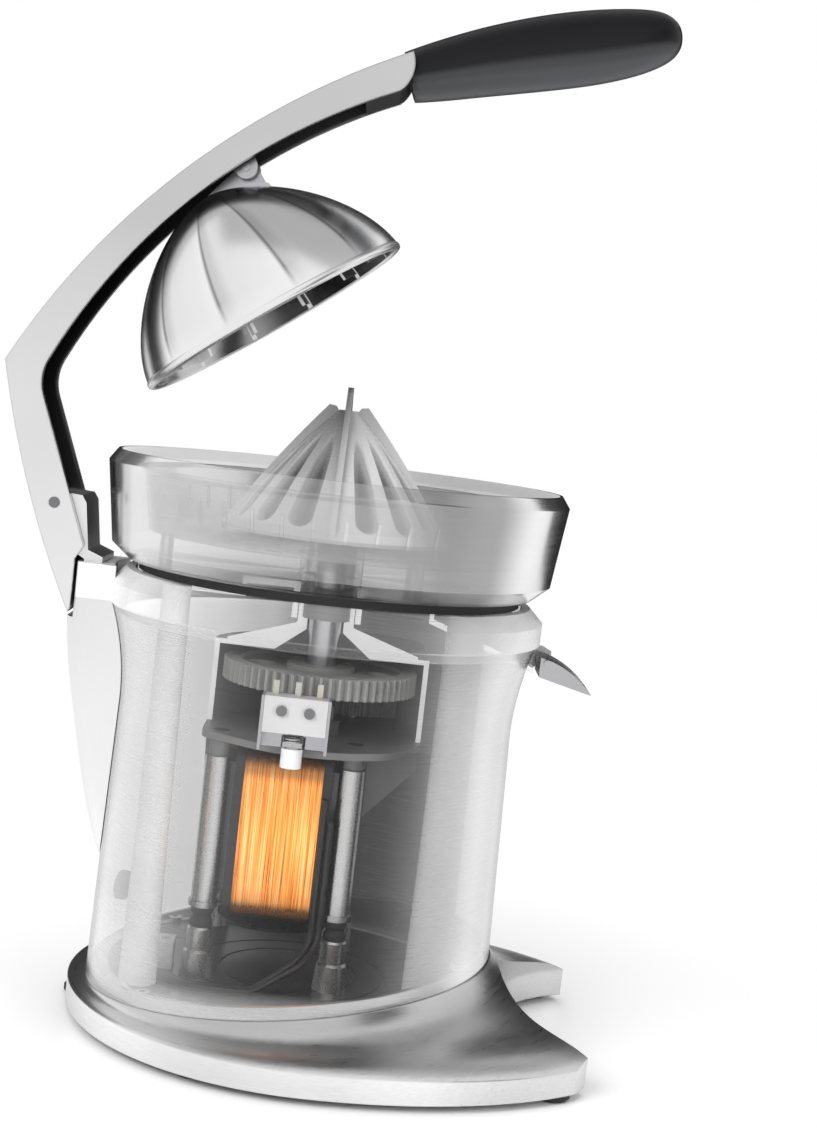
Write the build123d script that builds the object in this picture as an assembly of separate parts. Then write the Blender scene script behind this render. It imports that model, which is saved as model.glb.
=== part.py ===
"""Motor-driven lever citrus press with its gear train, motor and switch.

Millimetres. +Z is up and +X points to the juice spout. The pieces are drawn about the upright axis
of the round body and then moved forward by BODY_AXIS, which puts the origin on the surface that the
press stands on, under the middle of its length. The lever is modelled raised.
"""
from build123d import *
import math
import os

# Clearances
RUNNING_GAP = 0.05  # radial, between a shaft and its bearing
SEAT_GAP = 0.3  # between pieces that drop into, slide past or swing by each other

BODY_AXIS = 6.0  # how far the body's axis lies in front of the middle of the overall length

# Foot of the press
FOOT_HEIGHT = 3.0
FOOT_RADIUS = 8.0
BASE_BAND = 10.0  # height of the upright band round the base
BASE_REAR = 110.0  # half lengths of the base's oval, from its own centre
BASE_FRONT = 146.0
BASE_HALF_WIDTH = 108.0
BASE_CENTRE = 14.0  # how far the oval's centre lies in front of the body's axis
BASE_WALL = 4.0
BASE_SKIN = 2.5  # thickness of the flare's top
SEAM_RISE = 13.0  # seam between base and body above the band, on the body's axis
SEAM_SLOPE = 0.14  # the seam climbs towards the front
SCOOP_RADIUS = 70.0  # hollow in the front of the base, where the glass stands
SCOOP_SETBACK = 4.5
HORN_REACH = 143.0  # from the body's axis to the blunt ends of the horns
SPIGOT_HEIGHT = 5.0
SPIGOT_WALL = 2.4
COVER_THICKNESS = 2.5
FLOOR_RISE = 7.0  # top of the inner floor above the band
FLOOR_THICKNESS = 2.5
LEDGE_WIDTH = 7.0

# Body
BODY_RADIUS = 88.5
WAIST_RADIUS = 85.8
WAIST_RISE = 117.0  # above the inner floor
FLARE_HEIGHT = 41.0
FLARE_OUT = 7.3
SHELL_WALL = 1.2
RING_HEIGHT = 15.0
RING_BEVEL = 6.0
RING_WALL = 9.7
BLOCK_REACH = 13.5  # the hinge block stands out behind the ring
BLOCK_HALF_WIDTH = 22.0
DECK_THICKNESS = 3.0
TOWER_LENGTH = 13.0  # of the deck's tube round the spindle
RECESS_INNER = 38.0  # shallow pocket in the back half of the deck
RECESS_OUTER = 62.0
SPINE_RISE = 39.0  # lower end of the spine above the inner floor
SPINE_WALL = 2.0

# Juice path
GASKET_HEIGHT = 4.0
BOWL_RADIUS = 100.0
BOWL_HEIGHT = 46.0
BOWL_WALL = 1.2
CHIMNEY_BORE = 12.5
CHIMNEY_HEIGHT = 24.0
DRAIN_REACH = 60.0
DRAIN_RADIUS = 9.0
BASKET_RADIUS = 84.5
BASKET_RISE = 13.0  # basket floor above the bowl floor
BASKET_HEIGHT = 26.0
BASKET_WALL = 1.4
BASKET_SLOTS = 40
SLOT_WIDTH = 1.6
TROUGH_HALF_WIDTH = 13.0
TROUGH_WALL = 2.0
TROUGH_DEPTH = 24.0  # at the shell, below the deck
SPOUT_REACH = 24.5
SPOUT_WALL = 1.6
SPOUT_PIN_RADIUS = 1.5

# Reamer cone
CONE_RADIUS = 50.0
CONE_HEIGHT = 64.5
CONE_LIFT = 3.5  # above the basket floor
FIN_THICKNESS = 2.5
PRESS_TRAVEL = 2.0

# Lever
PIVOT_BEHIND = 119.5  # behind the body's axis
PIVOT_RISE = 24.0  # above the ring
LEVER_SWING = 36.0
LEVER_WIDTH = 40.0
LEVER_WALL = 3.5
LEVER_BACK = 4.5
PIN_RADIUS = 2.3
KNUCKLE_RADIUS = 4.8
TOWER_DEPTH = 7.8
FOOT_HALF_WIDTH = 11.0  # of the tower below the ring's top
TOWER_ROOT = 43.0  # how far the tower reaches below the ring
GRIP_WIDTH = 37.0
TANG_LENGTH = 62.0

# Pressing dome
DOME_RADIUS = 62.0
DOME_HEIGHT = 59.5
DOME_WALL = 3.0
DOME_RIBS = 12
DOME_RIB_DEPTH = 8.0
DOME_DROP = 83.2  # lever pivot to dome pin, upwards, when the lever is down
DOME_PIN_RISE = 61.0
DOME_PIN_FORWARD = 21.4
DOME_PIN_RADIUS = 2.0
CLEVIS_GAP = 12.6

# Gear train
SPINDLE_RADIUS = 7.2
BUSH_WALL = 3.1
BUSH_LENGTH = 12.0
THRUST_RADIUS = 4.0
GEARBOX_DROP = 65.0  # underside of the gearbox plate below the deck
PLATE_THICKNESS = 3.0
CASE_HEIGHT = 36.5
CASE_WALL = 2.2
GEAR_ROOM = 2.5  # round the gears' tips
COARSE_MODULE = 1.25
FINE_MODULE = 1.0
OUTPUT_TEETH = 66
PINION_TEETH = 13
IDLER_TEETH = 50
MOTOR_TEETH = 11
PRESSURE_ANGLE = 20.0
BACKLASH = 0.22
GEAR_WIDTH = 9.0
IDLER_ANGLE = 71.0  # direction of the idler from the body's axis
MOTOR_ANGLE = 211.6  # direction of the motor from the idler

# Motor
STACK_HEIGHT = 57.0
STACK_HALF_LENGTH = 33.0
STACK_REAR = 24.0
ROTOR_RADIUS = 15.6
AIR_GAP = 0.4
CORE_LEG = 14.0
WINDOW_WIDTH = 10.7
WINDING_LENGTH = 34.0
WINDING_DEPTH = 9.3
BOBBIN_WALL = 1.1
BOBBIN_FLANGE = 4.0
STACK_DROP = 11.5  # top of the stack below the gearbox plate
SHAFT_RADIUS = 3.0
BEARING_RADIUS = 7.0
CRADLE_DROP = 3.0  # of the cradle's top below the stack
FAN_RADIUS = 26.0
FAN_BLADES = 9
POST_RADIUS = 5.5
POST_FRONT = 7.0  # sleeves stand this far in front of the core leg
GROMMET_HEIGHT = 9.0
SCREW_HEAD = 3.6

# Switch
SWITCH_LENGTH = 26.0
SWITCH_DEPTH = 10.0
SWITCH_HEIGHT = 15.0
SWITCH_OFFSET = 56.0  # to the side of the body's axis
SWITCH_MIDDLE = -6.5
LEAD_RADIUS = 1.4
CORD_BORE = 3.7
CORD_ANGLE = 160.0  # direction of the cord's bush from the body's axis
CORD_RISE = 22.0

# Levels
BASE_TOP = FOOT_HEIGHT + BASE_BAND
SEAM = BASE_TOP + SEAM_RISE
FLOOR = BASE_TOP + FLOOR_RISE
WAIST = FLOOR + WAIST_RISE
CORD_HEIGHT = FLOOR + CORD_RISE
SHELL_TOP = WAIST + FLARE_HEIGHT
RING_TOP = SHELL_TOP + RING_HEIGHT
DECK = RING_TOP - DECK_THICKNESS
BOWL_FLOOR = RING_TOP + GASKET_HEIGHT
BOWL_RIM = BOWL_FLOOR + BOWL_HEIGHT
BASKET_FLOOR = BOWL_FLOOR + BASKET_RISE
CONE_BASE = BASKET_FLOOR + BASKET_WALL + CONE_LIFT
CONE_TIP = CONE_BASE + CONE_HEIGHT
PLATE = DECK - GEARBOX_DROP
PLATE_TOP = PLATE + PLATE_THICKNESS
CASE_ROOF = PLATE_TOP + CASE_HEIGHT
STACK_TOP = PLATE - STACK_DROP
STACK_FOOT = STACK_TOP - STACK_HEIGHT
CRADLE_TOP = STACK_FOOT - CRADLE_DROP

# Radii and places that follow
SCOOP_CENTRE = BODY_RADIUS + SCOOP_SETBACK + SCOOP_RADIUS
SHELL_TOP_RADIUS = WAIST_RADIUS + FLARE_OUT
FLARE_ARC = (FLARE_OUT**2 + FLARE_HEIGHT**2) / (2 * FLARE_OUT)
RING_RADIUS = SHELL_TOP_RADIUS + 0.9
DECK_RADIUS = RING_RADIUS - RING_WALL - SEAT_GAP
BLOCK_REAR = -(RING_RADIUS + BLOCK_REACH)
PIVOT_X = -PIVOT_BEHIND
PIVOT_Z = RING_TOP + PIVOT_RISE
NECK_BORE = SPINDLE_RADIUS + RUNNING_GAP + BUSH_WALL
NECK_RADIUS = NECK_BORE + 2.0
TOWER_BORE = NECK_RADIUS + SEAT_GAP
CHIMNEY_RADIUS = CHIMNEY_BORE + 1.4
OUTPUT_PITCH = COARSE_MODULE * OUTPUT_TEETH / 2
PINION_PITCH = COARSE_MODULE * PINION_TEETH / 2
IDLER_PITCH = FINE_MODULE * IDLER_TEETH / 2
MOTOR_PITCH = FINE_MODULE * MOTOR_TEETH / 2
CASE_BORE = OUTPUT_PITCH + COARSE_MODULE + GEAR_ROOM
IDLER_BORE = IDLER_PITCH + FINE_MODULE + GEAR_ROOM - 1


def polar(distance, degrees):
    """The point at a distance and direction from the origin."""
    return distance * math.cos(math.radians(degrees)), distance * math.sin(math.radians(degrees))


IDLER = polar(OUTPUT_PITCH + PINION_PITCH, IDLER_ANGLE)
MOTOR = tuple(a + b for a, b in zip(IDLER, polar(IDLER_PITCH + MOTOR_PITCH, MOTOR_ANGLE)))


# Shapes that many pieces share
def mix(first, last, share):
    return first + (last - first) * share


def outline(*path):
    """A closed face. A step of two points is an arc through the first to the second."""
    edges = []
    here = path[0]
    for step in path[1:]:
        if isinstance(step[0], tuple):
            edges.append(ThreePointArc(here, *step))
            here = step[1]
        else:
            edges.append(Line(here, step))
            here = step
    if here != path[0]:
        edges.append(Line(here, path[0]))
    return make_face(edges)


def bowed(start, end, rise):
    """The middle of a shallow arc that bows to the left of the way from start to end."""
    way = math.hypot(end[0] - start[0], end[1] - start[1])
    return (
        (start[0] + end[0]) / 2 - rise * (end[1] - start[1]) / way,
        (start[1] + end[1]) / 2 + rise * (end[0] - start[0]) / way,
    )


def turned(*path):
    """A profile of radius and height, turned round Z."""
    return revolve(Plane.XZ * outline(*path), Axis.Z)


def sideways(face, low, high):
    """A face drawn in X and Z, as a solid from low to high in Y."""
    return extrude(Plane.XZ.offset(-high) * face, high - low)


def raised(face, low, high):
    """A face drawn in X and Y, as a solid from low to high in Z."""
    return extrude(Pos(0, 0, low) * face, high - low)


def block(low, high):
    """A box between two corners."""
    size = [b - a for a, b in zip(low, high)]
    middle = [(a + b) / 2 for a, b in zip(low, high)]
    return Pos(*middle) * Box(*size)


def rod(radius, low, high, at=(0, 0)):
    return raised(Pos(*at) * Circle(radius), low, high)


def tube(outer, inner, low, high, at=(0, 0)):
    return raised(Pos(*at) * (Circle(outer) - Circle(inner)), low, high)


def cross_rod(radius, low, high, at):
    """A round bar along Y, through a point of X and Z."""
    return sideways(Pos(*at) * Circle(radius), low, high)


def group(solids):
    """Separate solids of one node."""
    return Compound([solid for item in solids for solid in item.solids()])


def slanted(height, slope):
    """The plane through the body's axis at a height that climbs to the front by slope."""
    return Plane(origin=(0, 0, height), x_dir=(1, 0, slope), z_dir=(-slope, 0, 1))


def lower_radius(height):
    """The body's outer radius between the base and the waist."""
    return mix(BODY_RADIUS, WAIST_RADIUS, (height - BASE_TOP) / (WAIST - BASE_TOP))


# Base
def base_section(climb, inset):
    """The base's oval at a share of the way up to the seam, where it has become the body's circle."""
    share = 1 - (1 - climb) ** 2
    rear, front, side = (
        mix(reach, BODY_RADIUS, share) - inset for reach in (BASE_REAR, BASE_FRONT, BASE_HALF_WIDTH)
    )
    slope = SEAM_SLOPE * climb
    stretch = math.hypot(1, slope)
    centre = mix(BASE_CENTRE, 0, share) * stretch
    oval = [
        EllipticalCenterArc((centre, 0), front * stretch, side, -90, arc_size=180),
        EllipticalCenterArc((centre, 0), rear * stretch, side, 90, arc_size=180),
    ]
    return slanted(mix(BASE_TOP, SEAM, climb), slope) * make_face(oval)


def base_form(inset):
    """The solid form of the base: upright band, then a hollow flare up to the seam."""
    flare = loft([base_section(climb, inset) for climb in (0, 1 / 3, 2 / 3, 1)])
    form = flare + extrude(base_section(0, inset), -BASE_BAND)
    return form & rod(HORN_REACH - inset, -10, 2 * SEAM)


def scoop(growth):
    return rod(SCOOP_RADIUS + growth, -10, 2 * SEAM, (SCOOP_CENTRE, 0))


def base_skirt():
    """The metal foot: an open shell with a socket for the body and a ledge for the floor."""
    bore = BODY_RADIUS - BASE_WALL
    form = base_form(0) - scoop(0)
    hollow = Pos(0, 0, -BASE_SKIN) * base_form(BASE_WALL) - scoop(BASE_WALL)
    low, high = FLOOR - FLOOR_THICKNESS, 2 * SEAM
    outer, upper = (lower_radius(height) - SHELL_WALL - SEAT_GAP for height in (low, high))
    collar = turned((outer - SPIGOT_WALL, low), (outer, low), (upper, high), (upper - SPIGOT_WALL, high))
    collar -= slanted(SEAM + SPIGOT_HEIGHT, SEAM_SLOPE) * Pos(0, 0, SEAM) * Box(400, 400, 2 * SEAM)
    ledge_top = FLOOR - FLOOR_THICKNESS
    ledge = tube(bore + 1, bore - LEDGE_WIDTH, ledge_top - BASE_SKIN, ledge_top)
    return form - hollow - rod(bore, -10, 2 * SEAM) + collar + ledge


def foot_places():
    """Three feet round the back and one under each horn."""
    ring = BASE_REAR - BASE_WALL - 2 * FOOT_RADIUS
    rear = [polar(ring, angle) for angle in (110, 180, 250)]
    horn = (BASE_CENTRE + 0.69 * BASE_FRONT, 0.63 * BASE_HALF_WIDTH)
    return rear + [horn, (horn[0], -horn[1])]


def bottom_cover():
    """The plate that closes the base from below, with hollow pillars up to the ledge."""
    gap = BASE_WALL + SEAT_GAP
    plate = Pos(0, 0, FOOT_HEIGHT - BASE_TOP) * extrude(base_section(0, gap), COVER_THICKNESS)
    plate = (plate & rod(HORN_REACH - gap, 0, BASE_TOP)) - scoop(gap)
    pillar_ring = BODY_RADIUS - BASE_WALL - LEDGE_WIDTH / 2
    for angle in (45, 135, 225, 315):
        top = FLOOR - FLOOR_THICKNESS - BASE_SKIN
        plate += tube(LEDGE_WIDTH / 2 - SEAT_GAP, 1.3, FOOT_HEIGHT + COVER_THICKNESS, top, polar(pillar_ring, angle))
    return plate


def rubber_feet():
    foot = turned((0, 0), (FOOT_RADIUS - 1, 0), (FOOT_RADIUS, 1), (FOOT_RADIUS, FOOT_HEIGHT), (0, FOOT_HEIGHT))
    return group(Pos(x, y, 0) * foot for x, y in foot_places())


def base_plate():
    """The floor under the motor, with a raised rim and lightening grooves."""
    radius = lower_radius(FLOOR) - SHELL_WALL - SPIGOT_WALL - 3 * SEAT_GAP
    plate = rod(radius, FLOOR - FLOOR_THICKNESS, FLOOR)
    for ring in (0.35, 0.5):
        plate -= tube(radius * ring + 1.5, radius * ring, FLOOR - 0.8, FLOOR + 1, (0, 0))
    return plate


def base_screws():
    ring = BODY_RADIUS - BASE_WALL - LEDGE_WIDTH / 2
    return group(tube(3.2, 1.3, FLOOR, FLOOR + 2, polar(ring, angle)) for angle in (45, 135, 225, 315))


# Body
def flare_radius(height):
    """The shell's outer radius at a height above the waist."""
    return WAIST_RADIUS + FLARE_ARC - math.sqrt(FLARE_ARC**2 - (height - WAIST) ** 2)


def shell_solid(growth, low):
    """The body's outer form, grown by a wall or a gap."""
    middle = (WAIST + SHELL_TOP) / 2
    return turned(
        (0, low),
        (lower_radius(low) + growth, low),
        (WAIST_RADIUS + growth, WAIST),
        ((flare_radius(middle) + growth, middle), (SHELL_TOP_RADIUS + growth, SHELL_TOP)),
        (0, SHELL_TOP),
    )


def spout_window(growth):
    """The opening in the body's front where the trough comes out."""
    side = TROUGH_HALF_WIDTH + TROUGH_WALL + growth
    floor = DECK - TROUGH_DEPTH - TROUGH_WALL - growth
    return block((WAIST_RADIUS - 20, -side, floor), (RING_RADIUS + 9, side, SHELL_TOP + 1))


def body_shell():
    shell = shell_solid(0, BASE_TOP - 5) - shell_solid(-SHELL_WALL, BASE_TOP - 5)
    shell -= slanted(SEAM, SEAM_SLOPE) * Pos(0, 0, -SEAM) * Box(400, 400, 2 * SEAM)
    hole = Rot(0, 0, CORD_ANGLE) * Pos(BODY_RADIUS, 0, CORD_HEIGHT) * Rot(0, 90, 0) * Cylinder(CORD_BORE + 3, 30)
    return shell - spout_window(SEAT_GAP) - hole


def top_ring():
    """The ring that holds the deck and the hinge tower's block."""
    inner = RING_RADIUS - RING_WALL
    bevel = RING_TOP - RING_BEVEL
    root = flare_radius(SHELL_TOP - 4) - SHELL_WALL - SEAT_GAP
    ring = turned(
        (root - 3, SHELL_TOP - 4),
        (root, SHELL_TOP - 4),
        (root, SHELL_TOP),
        (RING_RADIUS, SHELL_TOP),
        (RING_RADIUS, bevel),
        (RING_RADIUS - RING_BEVEL, RING_TOP),
        (inner, RING_TOP),
        (inner, DECK),
        (inner - 3, DECK),
        (inner - 3, DECK - 2),
        (root - 3, bevel - 4),
    )
    back = Pos((BLOCK_REAR - RING_RADIUS + RING_WALL) / 2, 0) * RectangleRounded(
        BLOCK_REACH + RING_WALL, 2 * BLOCK_HALF_WIDTH, 5
    )
    hinge_block = raised(back, SHELL_TOP, RING_TOP) - rod(RING_RADIUS - 1, 0, 2 * RING_TOP)
    ring += hinge_block
    ring -= tower_slot(SEAT_GAP)
    ring -= block((inner - 20, -TROUGH_HALF_WIDTH - TROUGH_WALL - SEAT_GAP, 0), (root + 0.1, TROUGH_HALF_WIDTH + TROUGH_WALL + SEAT_GAP, DECK))
    return ring


def tower_slot(gap):
    """The shaft through the hinge block that the tower's foot fills."""
    front = BLOCK_REAR + SPINE_WALL + SEAT_GAP + TOWER_DEPTH
    side = FOOT_HALF_WIDTH
    return block(
        (front - TOWER_DEPTH - gap, -side - gap, SHELL_TOP - 1), (front + gap, side + gap, RING_TOP + 1)
    )


def rear_spine():
    """The hump up the back of the body, over the tower's foot."""
    foot = FLOOR + SPINE_RISE
    top = SHELL_TOP
    reach = -BLOCK_REAR + 3 - 78

    def hump(inset):
        stations = ((0, 6.3, 14), (10, 10.8, 15), (32, 17.8, 17), (62, 24.8, 19), (97, reach - 1.2, 21), (top - foot, reach, 21))
        return loft(
            [
                Pos(-78, 0, foot + rise)
                * RectangleRounded(2 * (depth - inset), 2 * (half - inset), half * 0.42 - inset)
                for rise, depth, half in stations
            ]
        )

    step = block((-200, -50, top - 9), (BLOCK_REAR + 0.3, 50, top + 1))
    inner_step = block((-200, -50, top - 9 - SPINE_WALL), (BLOCK_REAR + 0.3 + SPINE_WALL, 50, top + 1))
    outer = hump(0) - step
    hollow = hump(SPINE_WALL) - inner_step
    return outer - hollow - shell_solid(SEAT_GAP, 0)


def deck():
    """The floor above the works: spindle tower, ribs and the trough that leads juice to the spout."""
    plate = rod(DECK_RADIUS, DECK, RING_TOP)
    plate += tube(TOWER_BORE + 2.6, TOWER_BORE, DECK - TOWER_LENGTH, DECK)
    recess = tube(RECESS_OUTER, RECESS_INNER, DECK - 4, RING_TOP + 1)
    rim = tube(RECESS_OUTER + 2, RECESS_INNER - 2, DECK - 6, RING_TOP)
    behind = block((-200, -100, DECK - 10), (10, 100, RING_TOP + 1))
    plate += rim & behind
    plate -= recess & behind
    side = TROUGH_HALF_WIDTH
    shallow = DECK - 7
    deep = DECK - TROUGH_DEPTH
    near = DRAIN_REACH - DRAIN_RADIUS - 4
    far = RING_RADIUS - 1
    wall = TROUGH_WALL
    outer = outline((near - wall, DECK), (near - wall, shallow - wall), (far, deep - wall), (far, deep + 9), (DECK_RADIUS - 2, deep + 9), (DECK_RADIUS - 2, DECK))
    inner = outline((near, DECK), (near, shallow), (far + 1, deep), (far + 1, DECK))
    plate += sideways(outer, -side - wall, side + wall)
    plate -= sideways(inner, -side, side)
    plate -= rod(DRAIN_RADIUS + 2, DECK - 1, RING_TOP + 1, (DRAIN_REACH, 0))
    plate -= rod(NECK_RADIUS + RUNNING_GAP, DECK - 1, RING_TOP + 1)
    return plate + spout_ears() - cross_rod(SPOUT_PIN_RADIUS, -side - wall - 1, side + wall + 1, SPOUT_PIVOT)


# Bowl, basket and cone
def juice_bowl():
    """The steel bowl: chimney round the spindle, and a drain over the trough."""
    wall = BOWL_WALL
    floor_radius = DECK_RADIUS + 4
    shoulder = BOWL_FLOOR + 6.5
    bowl = turned(
        (CHIMNEY_BORE, BOWL_FLOOR),
        (floor_radius, BOWL_FLOOR),
        (BOWL_RADIUS - 4.5, shoulder),
        (BOWL_RADIUS, BOWL_RIM - 5),
        (BOWL_RADIUS - 3.5, BOWL_RIM),
        (BOWL_RADIUS - 3.5 - wall, BOWL_RIM),
        (BOWL_RADIUS - wall, BOWL_RIM - 5),
        (BOWL_RADIUS - 4.5 - wall, shoulder + wall / 2),
        (floor_radius - wall / 2, BOWL_FLOOR + wall),
        (CHIMNEY_RADIUS, BOWL_FLOOR + wall),
        (CHIMNEY_RADIUS, BOWL_FLOOR + CHIMNEY_HEIGHT),
        (CHIMNEY_BORE, BOWL_FLOOR + CHIMNEY_HEIGHT),
    )
    drain = (DRAIN_REACH, 0)
    bowl += rod(DRAIN_RADIUS, DECK - 3, BOWL_FLOOR + wall, drain)
    return bowl - rod(DRAIN_RADIUS - wall, DECK - 4, BOWL_RIM, drain)


def bowl_gasket():
    """The dark seal that the bowl stands on."""
    return tube(DECK_RADIUS - 1, DECK_RADIUS - 5, RING_TOP, BOWL_FLOOR)


def filter_basket():
    """The strainer: slots in its floor and its wall, and three feet on the bowl's floor."""
    wall = BASKET_WALL
    foot_radius = BASKET_RADIUS - 4
    collar = CHIMNEY_RADIUS + SEAT_GAP
    rim = BASKET_FLOOR + BASKET_HEIGHT
    basket = turned(
        (collar, BASKET_FLOOR),
        (foot_radius, BASKET_FLOOR),
        (BASKET_RADIUS, rim - 2),
        (BASKET_RADIUS + 2, rim),
        (BASKET_RADIUS + 1, rim + 1),
        (BASKET_RADIUS - wall, rim - 1),
        (foot_radius - wall, BASKET_FLOOR + wall),
        (collar + 2.4, BASKET_FLOOR + wall),
        (collar + 2.4, BASKET_FLOOR + 8),
        (collar, BASKET_FLOOR + 8),
    )
    floor_slot = Pos(CONE_RADIUS + 10, 0, BASKET_FLOOR) * Rot(0, 0, 30) * Box(15, SLOT_WIDTH, 4 * wall)
    wall_slot = Pos(BASKET_RADIUS, 0, BASKET_FLOOR + 12) * Box(20, SLOT_WIDTH, 10)
    basket -= PolarLocations(0, BASKET_SLOTS) * floor_slot
    basket -= PolarLocations(0, BASKET_SLOTS, start_angle=4.5) * wall_slot
    foot = rod(3, BOWL_FLOOR + BOWL_WALL, BASKET_FLOOR, (BASKET_RADIUS - 12, 0))
    return basket + PolarLocations(0, 3, start_angle=60) * foot


def fin_face(tip):
    """One fin from the axis outwards; tip is its highest point."""
    base = CONE_BASE
    shoulder = (CONE_RADIUS * 0.17, base + CONE_HEIGHT * 0.875)
    middle = (CONE_RADIUS * 0.62, base + CONE_HEIGHT * 0.434)
    return outline((0, base), (CONE_RADIUS, base), (middle, shoulder), *tip, (0, tip[-1][1]))


def cone_body():
    """The reamer's core with twelve tear-drop flutes and a hollow underside."""
    base = CONE_BASE
    core = turned(
        (0, base),
        (CONE_RADIUS, base),
        (CONE_RADIUS, base + 1.5),
        (CONE_RADIUS - 5.5, base + 4.5),
        ((CONE_RADIUS * 0.52, base + CONE_HEIGHT * 0.47), (4, CONE_TIP - 10)),
        (0, CONE_TIP - 10),
    )
    low = (CONE_RADIUS * 0.86, base + 11.0)
    high = (7.2, CONE_TIP - 9.0)
    length = math.hypot(low[0] - high[0], high[1] - low[1])
    lean = math.degrees(math.atan2(low[0] - high[0], high[1] - low[1]))
    flute = Pos(0, 0, length / 2) * Cone(6.2, 0.8, length) + Sphere(6.2)
    flute = Pos(low[0], 0, low[1]) * Rot(0, -lean, 0) * flute
    for quarter in range(4):
        for side in (-25, 0, 25):
            core -= Rot(0, 0, 45 + 90 * quarter + side) * flute
    return core


def cone():
    """The reamer: four thin fins, two of them meeting in the centre point."""
    base = CONE_BASE
    half = FIN_THICKNESS / 2
    peak = ((4.5, CONE_TIP - 4), (1.2, CONE_TIP))
    notch = ((5.5, CONE_TIP - 8.5), (2.5, CONE_TIP - 13))
    solid = cone_body()
    for turn, tip in ((90, peak), (270, peak), (0, notch), (180, notch)):
        solid += Rot(0, 0, turn) * sideways(fin_face(tip), -half, half)
    roof = base + 34
    solid -= turned((0, base - 1), (CONE_RADIUS - 8, base - 1), (CONE_RADIUS - 17, base + 10), (14, roof), (0, roof))
    hub_foot = BOWL_FLOOR + CHIMNEY_HEIGHT + PRESS_TRAVEL + 3
    solid += rod(11.5, hub_foot, roof + 1)
    return solid - raised(RegularPolygon(SPINDLE_RADIUS, 6), hub_foot - 1, roof)


# Lever
LEVER_ELBOW = (-26.5, 58.0)  # from the pivot
LEVER_FRONT = (130.5, 204.0)
LEVER_UNDER = (126.8, 187.4)
LEVER_BEND = (-12.0, 52.2)
LEVER_TAIL = 46.0


def from_pivot(point):
    return PIVOT_X + point[0], PIVOT_Z + point[1]


def lever_marks():
    """The corners of the lever's side: elbow, front, under the front, inner bend and tail."""
    elbow, front, under, bend = (
        from_pivot(point) for point in (LEVER_ELBOW, LEVER_FRONT, LEVER_UNDER, LEVER_BEND)
    )
    tail = (BLOCK_REAR - 7 * SEAT_GAP, PIVOT_Z - LEVER_TAIL)
    return elbow, front, under, bend, tail


def arc_disc(start, rise, end, inset):
    """The disc inside a bowed edge, drawn in by inset."""
    arc = ThreePointArc(start, bowed(start, end, rise), end)
    return Pos(*arc.arc_center) * Circle(arc.radius - inset)


BACK_BOW = 18.0  # of the lever's long back
TAIL_BOW = 3.5
UNDER_BOW = -18.5


def lever_side():
    elbow, front, under, bend, tail = lever_marks()
    face = outline(
        elbow,
        (bowed(elbow, front, BACK_BOW), front),
        (bowed(front, under, 3), under),
        (bowed(under, bend, UNDER_BOW), bend),
        (BLOCK_REAR + 2.1, RING_TOP + 7),
        (BLOCK_REAR - 4 * SEAT_GAP, RING_TOP + 1),
        (BLOCK_REAR - 4 * SEAT_GAP, PIVOT_Z - LEVER_TAIL + 2),
        tail,
        (bowed(tail, elbow, TAIL_BOW), elbow),
    )
    inner = face.vertices().sort_by_distance(Vector(*bend))[0]
    return fillet(inner, 20)


def lever_channel():
    """The hollow along the lever's underside, as a face."""
    elbow, front, under, bend, tail = lever_marks()
    hollow = arc_disc(elbow, BACK_BOW, front, LEVER_BACK) & arc_disc(tail, TAIL_BOW, elbow, LEVER_WALL - 0.5)
    far = under[0] - 14
    return hollow & Pos(far - 200, PIVOT_Z) * Rectangle(400, 600)


def tang(gap):
    """The bar that carries the grip."""
    elbow, front, under, bend, tail = lever_marks()
    start = ((front[0] + under[0]) / 2, (front[1] + under[1]) / 2)
    bar = Pos(TANG_LENGTH / 2, 0.5, 0) * Box(TANG_LENGTH + 2 * gap, 9 + 2 * gap, 22 + 2 * gap)
    return Pos(start[0], 0, start[1]) * Rot(90, 0, 0) * Rot(0, 0, 16) * bar


def lever_arm():
    half = LEVER_WIDTH / 2
    arm = sideways(lever_side(), -half, half)
    arm -= sideways(lever_channel(), -half + LEVER_WALL, half - LEVER_WALL)
    arm -= cross_rod(PIN_RADIUS + RUNNING_GAP, -half - 1, half + 1, from_pivot((0, 0)))
    return arm + tang(0)


GRIP_STATIONS = (  # along and above the lever's end, height, width and slope
    (3.4, 0.8, 23.0, 33.0, 19.0),
    (28.9, 9.3, 28.2, 36.0, 17.0),
    (61.9, 18.2, 31.8, 37.0, 13.0),
    (88.0, 24.2, 30.2, 36.0, 12.0),
    (105.9, 28.4, 22.5, 31.0, 10.0),
    (112.6, 29.3, 14.0, 22.0, 8.0),
    (115.2, 29.5, 5.0, 9.0, 6.0),
)


def grip():
    """The soft paddle over the tang."""
    elbow, front, under, bend, tail = lever_marks()
    end = ((front[0] + under[0]) / 2, (front[1] + under[1]) / 2)
    sections = []
    for along, above, height, width, slope in GRIP_STATIONS:
        lean = math.radians(slope)
        place = Plane(
            origin=(end[0] + along, 0, end[1] + above),
            x_dir=(0, 1, 0),
            z_dir=(math.cos(lean), 0, math.sin(lean)),
        )
        sections.append(place * Ellipse(width / GRIP_STATIONS[2][3] * GRIP_WIDTH / 2, height / 2))
    half = LEVER_WIDTH / 2
    return loft(sections) - sideways(lever_side(), -half, half) - tang(0.1)


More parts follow.
